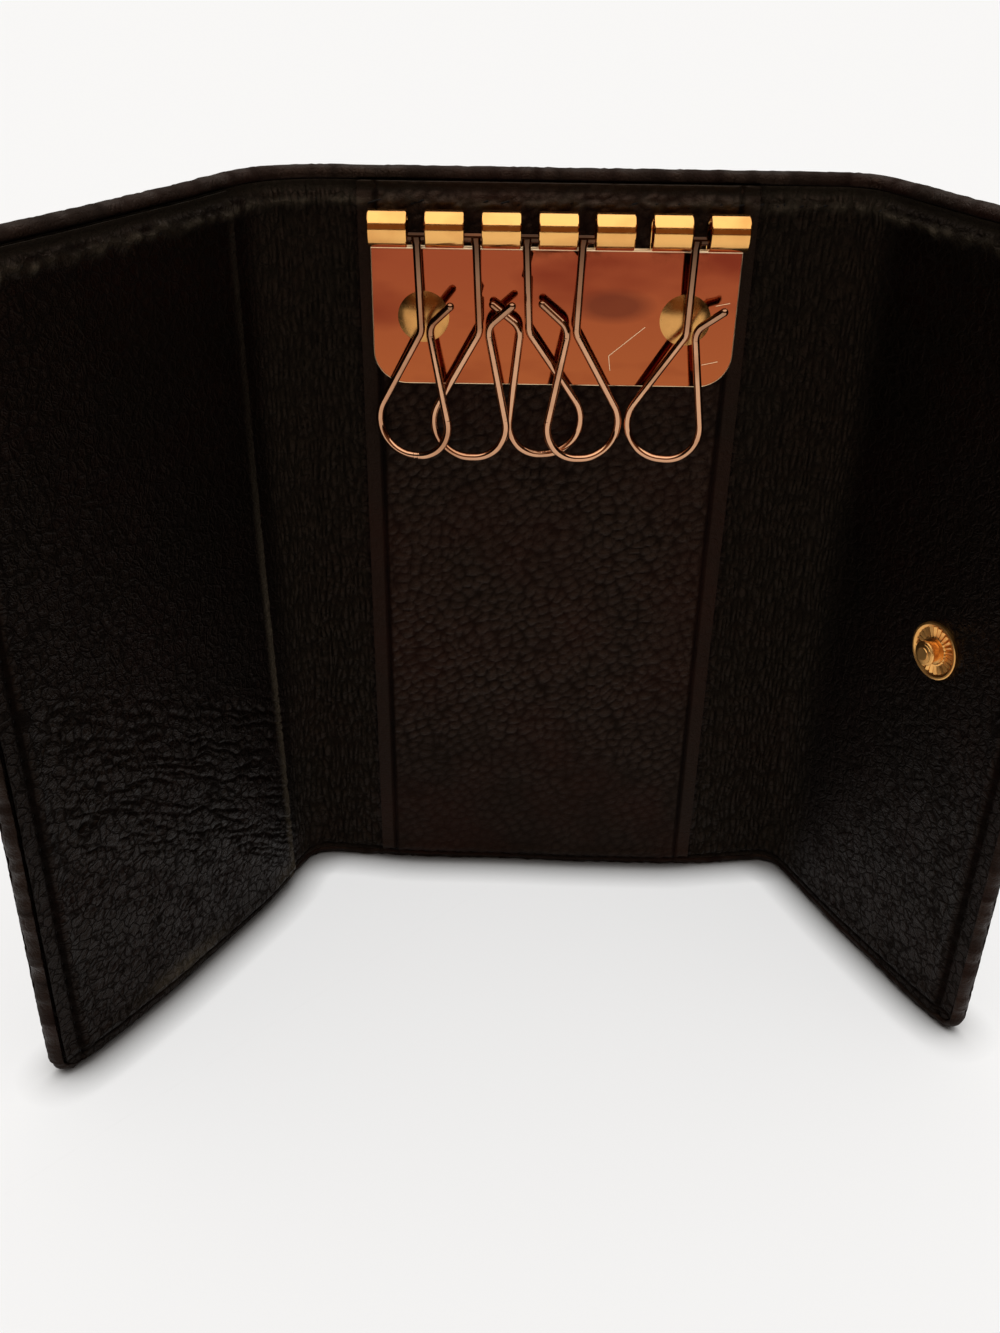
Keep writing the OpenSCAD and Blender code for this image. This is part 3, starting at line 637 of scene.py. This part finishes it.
# each skin is divided in the middle of the spines and behind the strip, where nothing shows
parts = {
    "left": (case["leftEnd"], case["leftSeam"], {"low"}, [foldLeft],
             ("left_spine", "left_flap"), leftBend),
    "centreLeft": (case["leftSeam"], 0.0, set(), [innerLeft], ("centre", "left_spine"), innerBendLeft),
    "centreRight": (0.0, case["rightSeam"], set(), [innerRight], ("centre", "right_spine"), innerBendRight),
    "right": (case["rightSeam"], case["rightEnd"], {"high"}, [foldRight],
              ("right_spine", "right_flap"), rightBend),
}
liningNodes = {"left": ("left_flap_lining", "left_fold_lining", "left_spine_lining"),
               "centreLeft": ("centre_lining",), "centreRight": ("centre_lining",),
               "right": ("right_flap_lining", "right_fold_lining", "right_spine_lining")}
outerNodes = {"left": ("left_flap_leather", "left_fold_leather", "left_spine_leather"),
              "centreLeft": ("centre_leather",), "centreRight": ("centre_leather",),
              "right": ("right_flap_leather", "right_fold_leather", "right_spine_leather")}

for name, (start, end, free, dense, joined, ends) in parts.items():
    a = start + (lining["edge"] if "low" in free else 0)
    b = end - (lining["edge"] if "high" in free else 0)
    dense = dense + ([(a, a + 5.4, 0.25)] if "low" in free else [])
    dense = dense + ([(b - 5.4, b, 0.25)] if "high" in free else [])
    coarse = meshStep["fine" if name == "right" else "hidden"]  # the pocket and the strip hide the rest
    dense = dense + [(-48.5, -26, 0.2), (26, 45, 0.2)]
    piece = skin(name + "Lining", spread(a, b, coarse, dense), rows, free, liningFace(0, bool(free)),
                 [(-0.02, 0.4), (0.0, 0.62), (0.3, 0.76), (2.0, 0.78)], 0.78, {side: 2.1 for side in free})
    piece.data.materials.append(liningLeather)
    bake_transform(piece)
    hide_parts(*liningNodes[name])
print("lining laid")


# The pocket's panel on the left flap, open along a slanted mouth beside the bend
pocket = {"mouthLow": -44.84, "mouthHigh": -47.2, "face": -0.8, "back": -0.32}


def pocketMouth(z):
    return pocket["mouthLow"] + (pocket["mouthHigh"] - pocket["mouthLow"]) * z / case["height"]


def pocketFace(s, z):
    depth, tone, worn = liningFace(pocket["face"], True)(s, z)
    toMouth = pocket["mouthLow"] - s
    paleEdgeAndHighlight = 0.42 - 0.34 * smooth(45, 85, z)  # the mouth's pale edge, partly edge paint and partly painted highlight, fainter higher up
    swollen = 0.5 * np.exp(-((s + 70) / 18) ** 2 - ((z - 35) / 30) ** 2)
    hem = np.exp(-((z - bottomLine(s) - 1.6) / 1.5) ** 2) * (0.6 + 0.4 * drift(s / 0.45, z / 3))
    # where light catches the hem
    warm = 0.5 * np.exp(-((s + 73) / 7) ** 2) + 0.35 * np.exp(-((s + 47.5) / 2.5) ** 2)
    return (depth - 0.35 * swollen, np.clip(tone, 0, 1),
            np.maximum(np.maximum(paleEdgeAndHighlight * np.exp(-(np.maximum(toMouth, 0) / 1.2) ** 4), hem * warm), worn))


pocketRows = spread(lining["hem"], case["height"] - lining["hem"], meshStep["pocketUp"],
                    edgeRows + [(4, 42, 0.22)])
pocketColumns = spread(case["leftEnd"] + lining["edge"], pocket["mouthLow"], meshStep["pocketAcross"],
                       [(case["leftEnd"] + 0.9, case["leftEnd"] + 6.5, 0.22), (-46, -44, 0.2)])
print("pocket:", len(pocketColumns), "by", len(pocketRows))


def slantMouth(s, z):
    # columns lean so that the last one lies along the mouth
    share = smooth(case["leftEnd"] + 10, pocket["mouthLow"], s)
    return s + share * (pocketMouth(z) - pocket["mouthLow"])


def slantedPlace(s, z, depth):
    return place(slantMouth(s, z), z, depth)


pocketPanel = skin("leftPocketPanel", pocketColumns, pocketRows, {"low", "high"}, pocketFace,
                   [(0.0, -0.5), (0.05, -0.36), (0.4, -0.3), (3.0, -0.12), (3.6, pocket["back"])],
                   pocket["back"], {"low": 2.1, "high": 0.5}, onto=slantedPlace)
pocketPanel.data.materials.append(liningLeather)
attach(pocketPanel, "left_flap")
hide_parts("left_pocket_panel")

# The strip that carries the key plate
strip = {"half": 26.5, "crease": 24.1, "face": -0.8}


def stripFace(s, z):
    band, inside, worn = borderBand(s, z, False)
    side = strip["half"] - np.abs(s)
    fromCrease = side - (strip["half"] - strip["crease"])
    bumps = pebbles(s, z) * (0.4 + 0.85 * smooth(8, 45, z))
    share = smooth(-0.5, 1.2, fromCrease) * (0.4 + 0.6 * smooth(-0.5, 1, inside))
    depth = strip["face"] + band + groove(fromCrease, 0.25, 0.45) + 0.1 * (1 - smooth(-0.6, 0.4, fromCrease))
    # painted shade: the valleys are darker, with dark lines along the side creases and the border's inner edge
    tone = ((0.3 + 0.6 * np.clip(bumps / grain["full"], 0, 1)) * share + 0.5 * (1 - share)
            - 1.2 * np.exp(-(fromCrease / 0.3) ** 2) - 0.9 * np.exp(-(inside / 0.35) ** 2))
    return depth - bumps * (0.2 + 0.8 * share), np.clip(tone, 0, 1), worn


stripColumns = spread(-strip["half"], strip["half"], meshStep["fine"],
                      [(-27, -23.2, 0.2), (23.2, 27, 0.2)])
stripPiece = skin("centreStrip", stripColumns, rows, {"low", "high"}, stripFace,
                  [(-0.05, -0.45), (0.0, -0.15), (0.3, -0.03), (2.0, -0.02)], -0.02,
                  {"low": 0.4, "high": 0.4})
stripPiece.data.materials.append(stripLeather)
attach(stripPiece, "centre")
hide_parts("centre_strip")
print("pocket and strip laid")


# Outer leather: the seen face is the back one, and its edges are turned round to the front
outer = {"edge": 0.38, "face": 2.6, "crease": 4.0}


def outerFace(free):
    def relief(s, z):
        fromTop = case["height"] - z
        fromEnd = np.where(s < 0, s - case["leftEnd"], case["rightEnd"] - s) if free else np.full(s.shape, 99.0)
        ripple = 0.5 + 0.5 * np.cos(2 * math.pi * s / stitching["pitch"])
        pressed = sum(np.exp(-(np.hypot(s - at, z - snap["height"]) / reach) ** 14)
                      for at, reach in (snap["cap"], snap["socket"]))
        bumps = pebbles(s + 57, z + 31) * 1.1 * (1 - pressed)
        nearest = np.minimum(np.minimum(fromTop, z), fromEnd)
        x = nearest - outer["crease"]
        depth = outer["face"] + bumps * (0.45 + 0.55 * smooth(-0.5, 1, x)) - groove(x, 0.3, 0.3)
        depth = depth - snap["outerSink"] * pressed
        depth = depth - 0.25 * (1 - smooth(0, 1.2, nearest)) + 0.12 * ripple * np.exp(-((x - 1.1) / 0.8) ** 2)
        # painted shade: a dark line along the crease, and the valleys darker than the tops
        tone = np.clip(bumps / grain["full"] - 0.6 * np.exp(-(x / 0.4) ** 2), 0, 1)
        paleEdgeAndHighlight = 0.5 + 0.15 * (s < -40) - 0.25 * (s > 38)  # painted highlight along the top edge, as if lit from above, most on the left flap and least on the right
        return depth, tone, 0.02 + paleEdgeAndHighlight * (fromTop < 0.3)
    return relief


rim = [(-0.0, 2.36), (-0.28, 2.05), (-0.38, 1.5), (-0.3, 0.85), (-0.05, 0.34), (0.25, 0.08),
       (0.5, 0.02), (0.68, 0.16), (0.74, 0.42), (0.76, 1.3), (1.5, 1.42)]
outerRows = spread(outer["edge"], case["height"] - outer["edge"], meshStep["outer"], [(0, 6, 0.3), (109, 115, 0.3)])
for name, (start, end, free, dense, joined, ends) in parts.items():
    a = start + (outer["edge"] if "low" in free else 0)
    b = end - (outer["edge"] if "high" in free else 0)
    dense = [(d[0], d[1], d[2] * 1.5) for d in dense]
    dense += ([(a, a + 6, 0.3)] if "low" in free else []) + ([(b - 6, b, 0.3)] if "high" in free else [])
    piece = skin(name + "OuterLeather", spread(a, b, meshStep["outer"], dense), outerRows, free,
                 outerFace(bool(free)), rim, 1.42, {side: 2.8 for side in free}, 1.75, 1)
    piece.data.materials.append(outerLeather)
    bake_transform(piece)
    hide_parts(*outerNodes[name])
print("outer leather laid")

# Boards, bent with the skins that hide them
boards = {"leftFlapBoard": ("left_flap", "left_flap_board", -93.1, -42.0),
          "centreBoard": ("centre", "centre_board", -27.0, 24.3),
          "rightFlapBoard": ("right_flap", "right_flap_board", 45.2, 82.7)}
for name, (body, node, start, end) in boards.items():
    piece = skin(name, spread(start, end, 2.5), spread(3.2, 111.8, 0.7), {"low", "high"},
                 lambda s, z: (0.84 + 0 * s, 0.5 + 0 * s, 0), [(0.05, 0.9), (0.05, 1.3), (0.1, 1.37)],
                 1.37, {"low": 0.3, "high": 0.3})
    piece.data.materials.append(boardMaterial)
    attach(piece, body)
    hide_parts(node)
print("boards laid")

# Stitches: one short waxed thread shaped once, and laid in rows that ride on the rigid bodies
thread = {"long": 1.9, "thick": 0.36, "inset": 4.0, "topSunk": -0.38, "sunk": 0.46, "backSunk": 0.12,
          "topSlant": 0.5, "slant": 0.12, "dip": 0.18}
bpy.ops.mesh.primitive_uv_sphere_add(segments=8, ring_count=6, radius=thread["thick"] / 2)
stitch = bpy.context.active_object
bpy.ops.object.mode_set(mode="EDIT")
bpy.ops.mesh.select_all(action="DESELECT")
bpy.ops.object.mode_set(mode="OBJECT")
for vertex in stitch.data.vertices:
    vertex.select = vertex.co.z > 0.01
bpy.ops.object.mode_set(mode="EDIT")
bpy.ops.transform.translate(value=(0, 0, thread["long"] - thread["thick"]))
bpy.ops.mesh.select_all(action="SELECT")
bpy.ops.transform.translate(value=(0, 0, (thread["thick"] - thread["long"]) / 2))
bpy.ops.object.mode_set(mode="OBJECT")
stitchPoints = np.array([v.co for v in stitch.data.vertices])
stitchFaces = [list(f.vertices) for f in stitch.data.polygons]
bpy.data.objects.remove(stitch)


bends = {"left_bend": ("left_spine", "left_flap", leftBend),
         "left_inner_bend": ("centre", "left_spine", innerBendLeft),
         "right_inner_bend": ("centre", "right_spine", innerBendRight),
         "right_bend": ("right_spine", "right_flap", rightBend)}


def bodyAt(s):
    ends = [(case["leftFold"] - 5, "left_flap"), (case["leftFold"] + 1.5, "left_bend"),
            (case["leftInner"] - 2.5, "left_spine"), (case["leftInner"] + 2.5, "left_inner_bend"),
            (case["rightInner"] - 2.5, "centre"), (case["rightInner"] + 2.5, "right_inner_bend"),
            (case["rightFold"] - 1.5, "right_spine"), (case["rightFold"] + 5, "right_bend")]
    return next((body for end, body in ends if s < end), "right_flap")


def levelAt(s, z):
    if abs(s) < strip["half"] - 0.3:
        return strip["face"]
    return pocket["face"] if s < pocketMouth(z) - 0.2 else 0


rowsOfStitches = {}
pitch = stitching["pitch"]
for front in (True, False):
    top = stitching["top"] if front else thread["inset"]
    low = stitching["bottom"] if front else thread["inset"]
    inset = stitching["side"] if front else thread["inset"]
    marks = [(s, z, "s") for z in (low, case["height"] - top)
             for s in np.arange(case["leftEnd"] + inset + pitch / 2, case["rightEnd"] - inset - pitch / 4, pitch)]
    marks += [(s, z, "z") for s in (case["leftEnd"] + inset, case["rightEnd"] - inset)
              for z in np.arange(low + pitch / 2, case["height"] - top - pitch / 4, pitch)]
    for s, z, along in marks:
        if front and z == low:
            z = float(bottomLine(s))
        nearTop = front and z > 100
        if front:
            depth = levelAt(s, z) + thread["topSunk" if nearTop else "sunk"]
        else:
            depth = outer["face"] - thread["backSunk"]
        run = stitchPoints[:, 2] * 0.985
        lie = stitchPoints[:, 2] / thread["long"]
        across = stitchPoints[:, 0] + thread["topSlant" if nearTop else "slant"] * lie
        sink = stitchPoints[:, 1] + (1 if front else -1) * thread["dip"] * (2 * lie) ** 2
        points = place(s + (run if along == "s" else across), z + (across if along == "s" else run), depth + sink)
        rowsOfStitches.setdefault((bodyAt(s), front), []).append(points)
for (body, front), lots in rowsOfStitches.items():
    words = body.split("_")
    name = words[0] + "".join(word.title() for word in words[1:]) + ("Front" if front else "Back") + "Stitches"
    count = len(stitchPoints)
    faces = [[v + count * k for v in face] for k in range(len(lots)) for face in stitchFaces]
    points = np.concatenate(lots)
    piece = meshPiece(name, points, faces, points[:, :2] * 1000, {})
    piece.data.materials.append(threadMaterial)
    if body in bends:
        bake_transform(piece)
    else:
        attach(piece, body)
print("stitched:", sum(len(lots) for lots in rowsOfStitches.values()), "stitches")


def mergedCopy(node, name):
    piece = nodes[node].copy()
    piece.data = nodes[node].data.copy()
    piece.name = piece.data.name = name
    piece.parent = None
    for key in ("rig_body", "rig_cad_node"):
        if key in piece:
            del piece[key]
    bpy.context.scene.collection.objects.link(piece)
    bpy.ops.object.select_all(action="DESELECT")
    piece.select_set(True)
    bpy.context.view_layer.objects.active = piece
    bpy.ops.object.mode_set(mode="EDIT")
    bpy.ops.mesh.select_all(action="SELECT")
    bpy.ops.mesh.remove_doubles(threshold=0.000002)
    bpy.ops.mesh.dissolve_limited(angle_limit=math.radians(1))
    bpy.ops.object.mode_set(mode="OBJECT")
    piece.data.materials.clear()
    return piece


def applyBevel(piece, width, segments, angle):
    bevel = piece.modifiers.new("edges", "BEVEL")
    bevel.width, bevel.segments, bevel.limit_method = width / 1000, segments, "ANGLE"
    bevel.angle_limit = math.radians(angle)
    bevel.harden_normals = False
    bpy.ops.object.modifier_apply(modifier=bevel.name)
    bpy.ops.object.shade_smooth_by_angle(angle=math.radians(50))


# Key plate: the stamped sheet with its edges rolled over in the press
plate = {"half": 24.9, "frontY": -2.62, "slotFoot": 104.4, "bendLine": 105.15,
         "beadRadius": 0.28, "scratchY": -2.7, "scratchSize": (0.02, 0.07),
         "scratches": [(12.5, 94.9, 7.7, 90.8), (7.7, 90.8, 8.0, 88.7), (21.9, 97.9, 23.8, 98.3),
                       (20.7, 89.7, 22.9, 90.2)]}
keyPlate = mergedCopy("key_plate", "keyPlate")
for vertex in keyPlate.data.vertices:
    if abs(vertex.co.z * 1000 - plate["slotFoot"]) < 0.02:
        vertex.co.z = plate["bendLine"] / 1000
applyBevel(keyPlate, 0.18, 2, 40)
bpy.ops.object.shade_smooth_by_angle(angle=math.radians(20))
bpy.ops.mesh.primitive_cylinder_add(vertices=12, radius=plate["beadRadius"] / 1000,
                                    depth=2 * plate["half"] / 1000 - 0.0002,
                                    location=(0, plate["frontY"] / 1000, plate["bendLine"] / 1000))
bendBead = bpy.context.active_object  # the bright radius where the sheet turns out of the flat
bpy.ops.object.mode_set(mode="EDIT")
bpy.ops.mesh.select_all(action="SELECT")
bpy.ops.transform.rotate(value=math.radians(90), orient_axis="Y",
                         center_override=(0, plate["frontY"] / 1000, plate["bendLine"] / 1000))
bpy.ops.object.mode_set(mode="OBJECT")
bpy.ops.object.transform_apply(location=True)
bpy.ops.object.shade_smooth_by_angle(angle=math.radians(60))
raised = [bendBead]
for x0, z0, x1, z1 in plate["scratches"]:  # hair scratches that show the brass
    bpy.ops.mesh.primitive_cube_add(size=1, location=(0, 0, 0))
    mark = bpy.context.active_object
    bpy.ops.object.mode_set(mode="EDIT")
    bpy.ops.mesh.select_all(action="SELECT")
    deep, wide = plate["scratchSize"]
    bpy.ops.transform.resize(value=(math.hypot(x1 - x0, z1 - z0) / 1000, deep / 1000, wide / 1000))
    bpy.ops.transform.rotate(value=math.atan2(z1 - z0, x1 - x0), orient_axis="Y", center_override=(0, 0, 0))
    bpy.ops.transform.translate(value=((x0 + x1) / 2000, plate["scratchY"] / 1000, (z0 + z1) / 2000))
    bpy.ops.object.mode_set(mode="OBJECT")
    raised.append(mark)
for piece in raised + [keyPlate]:
    piece.select_set(True)
bpy.context.view_layer.objects.active = keyPlate
bpy.ops.object.join()
keyPlate.data.materials.clear()
for material in (reflectionTintedGold, polishedGold, brassAndEdgeHighlight):
    keyPlate.data.materials.append(material)
# flat faces take the reflection-tinted gold, faces below the bend the pale painted-highlight gold, and the roll the
# polished gold
for face in keyPlate.data.polygons:
    flat = abs(face.normal.y) > 0.99 and face.area > 0.00002
    face.material_index = 0 if flat else 2 if face.center.z * 1000 < plate["bendLine"] + 0.3 else 1
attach(keyPlate, "centre")
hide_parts("key_plate")

# Stud: a flange coined with rays inside a smooth lip, and a turned post in steps
stud = {"at": (52.937, -25.567, 57.5), "facing": -154, "flange": 4.1, "rise": 0.55,
        "rays": 26, "rayDepth": 0.24, "rayFrom": 2.1, "rayTo": 3.45,
        "lip": [(3.95, -0.08), (3.75, 0.0), (3.6, 0.1), (3.4, 0.0), (2.15, 0.0), (1.95, 0.0)],  # radius and drop
        "post": [(1.78, 0.0), (1.78, 0.16), (1.48, 0.2), (1.46, 1.07), (1.62, 1.18), (1.75, 1.38), (1.75, 1.58),
                 (1.62, 1.72), (1.4, 1.78), (1.36, 1.88), (0.95, 1.94), (0.9, 2.06)]}
bpy.ops.mesh.primitive_cylinder_add(vertices=2 * stud["rays"], radius=stud["flange"] / 1000,
                                    depth=stud["rise"] / 1000, location=(0, 0, stud["rise"] / 2000))
studPiece = bpy.context.active_object
studPiece.name = studPiece.data.name = "snapStud"
bpy.ops.object.transform_apply(location=True)
bpy.ops.object.mode_set(mode="EDIT")


def topFace(piece):
    work = bmesh.from_edit_mesh(piece.data)
    highest = max(face.calc_center_median().z for face in work.faces)
    for face in work.faces:
        face.select_set(face.calc_center_median().z > highest - 1e-6 and len(face.verts) > 4)
    bmesh.update_edit_mesh(piece.data)


bpy.ops.mesh.select_mode(type="FACE")
topFace(studPiece)
reach = stud["flange"]
for radius, drop in stud["lip"]:
    bpy.ops.mesh.inset(thickness=(reach - radius) / 1000)
    bpy.ops.transform.translate(value=(0, 0, -drop / 1000))
    reach = radius
base = 0.0
for radius, height in stud["post"]:
    bpy.ops.mesh.extrude_region_move(TRANSFORM_OT_translate={"value": (0, 0, (height - base) / 1000)})
    bpy.ops.transform.resize(value=(radius / reach, radius / reach, 1))
    reach, base = radius, height
bpy.ops.object.mode_set(mode="OBJECT")
for vertex in studPiece.data.vertices:
    x, y, z = vertex.co * 1000
    far = math.hypot(x, y)
    ray = round(math.atan2(y, x) / math.pi * stud["rays"])
    if stud["rayFrom"] < far < stud["rayTo"] and z > 0.1 and ray % 2:
        z -= stud["rayDepth"]
    turned = Matrix.Rotation(math.radians(stud["facing"]), 3, "Z") @ Vector((z, y, -x))
    vertex.co = (turned + Vector(stud["at"])) / 1000
bpy.ops.object.shade_smooth_by_angle(angle=math.radians(28))
studPiece.data.materials.clear()
studPiece.data.materials.append(coinedGold)
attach(studPiece, "right_flap")
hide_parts("snap_stud")

for name in ("plate_rivets", "rivet_washers", "snap_socket", "socket_eyelet", "stud_cap"):
    nodes[name].data.materials.clear()
    nodes[name].data.materials.append(rivetGold if name == "plate_rivets" else polishedGold)
for name in ("hook_1", "hook_2", "hook_3", "hook_4", "hook_6", "socket_spring"):
    nodes[name].data.materials.clear()
    nodes[name].data.materials.append(roseWire)
print("fittings dressed")

# Floor, world and lamps: a pale table under a wide soft light, with a dim room behind
studio = {"table": "#989898", "glow": 0.65, "contact": 0.006, "backdrop": "#F8F7F5", "sky": 0.95,
          "sun": 1.0, "sunAngle": 90, "sunFrom": (0.1, -0.12, 1.2)}
floorMaterial, tree = newMaterial("paleTable")
rays = addNode(tree, "ShaderNodeLightPath").outputs
seen = computed(tree, "MAXIMUM", rays["Is Camera Ray"], rays["Is Glossy Ray"])
seen = computed(tree, "MAXIMUM", seen, rays["Is Transmission Ray"])
near = addNode(tree, "ShaderNodeAmbientOcclusion", {}, {"Distance": studio["contact"]})  # keeps the contact shadow
glow = computed(tree, "MULTIPLY", seen, ranged(tree, near.outputs["AO"], 0.4, 1.0, 0.0, studio["glow"]))
lit = addNode(tree, "ShaderNodeBsdfDiffuse", {}, {"Color": linearColour(studio["table"])})
even = addNode(tree, "ShaderNodeEmission", {}, {"Color": linearColour("#FFFFFF"), "Strength": glow})
finishMaterial(tree, addNode(tree, "ShaderNodeAddShader", {}, {0: lit.outputs[0], 1: even.outputs[0]}))
bpy.ops.mesh.primitive_plane_add(size=14, location=(0, 0, 0))
floor = bpy.context.active_object
floor.name = "floor"
floor.data.materials.append(floorMaterial)
floor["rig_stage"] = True

world = bpy.data.worlds.new("studio")
world.use_nodes = True
tree = world.node_tree
tree.nodes.clear()
way = addNode(tree, "ShaderNodeTexCoord").outputs["Generated"]
up = addNode(tree, "ShaderNodeSeparateXYZ", {}, {0: way}).outputs
ramps = []
for stops in (((0.0, "#1C130D"), (0.03, "#1C130D"), (0.07, "#7A5438"), (0.55, "#7A5438"), (0.59, "#22170F"),
               (0.62, "#22170F"), (0.67, "#FFFAF4")),
              ((0.0, "#140E0A"), (0.5, "#241810"), (0.62, "#22170F"), (0.67, "#FFFAF4")),
              ((0.0, "#6E655C"), (0.5, "#948A80"), (0.67, "#FFFAF4"))):
    ramp = addNode(tree, "ShaderNodeValToRGB", {}, {"Fac": up["Z"]})
    for share, hexText in stops[1:]:
        stop = ramp.color_ramp.elements.new(share)
        stop.color = linearColour(hexText)
    ramp.color_ramp.elements[0].color = linearColour(stops[0][1])
    ramp.color_ramp.elements[-1].color = linearColour(stops[-1][1])
    ramps.append(ramp.outputs[0])
room = mixed(tree, ranged(tree, computed(tree, "ABSOLUTE", up["X"]), 0.3, 0.6), ramps[0], ramps[1])
room = mixed(tree, ranged(tree, up["Y"], 0.15, 0.5), room, ramps[2])
room = mixed(tree, addNode(tree, "ShaderNodeLightPath").outputs["Is Camera Ray"], room, studio["backdrop"])
sky = addNode(tree, "ShaderNodeBackground", {}, {"Color": room, "Strength": studio["sky"]})
addNode(tree, "ShaderNodeOutputWorld", {}, {"Surface": sky.outputs[0]})
bpy.context.scene.world = world

lampData = bpy.data.lights.new("softLamp", "SUN")
lampData.energy, lampData.angle = studio["sun"], math.radians(studio["sunAngle"])
lamp = bpy.data.objects.new("softLamp", lampData)
bpy.context.scene.collection.objects.link(lamp)
lamp.rotation_euler = (-Vector(studio["sunFrom"])).to_track_quat("-Z", "Y").to_euler()

bpy.context.scene.view_settings.view_transform = "Standard"
low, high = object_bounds()
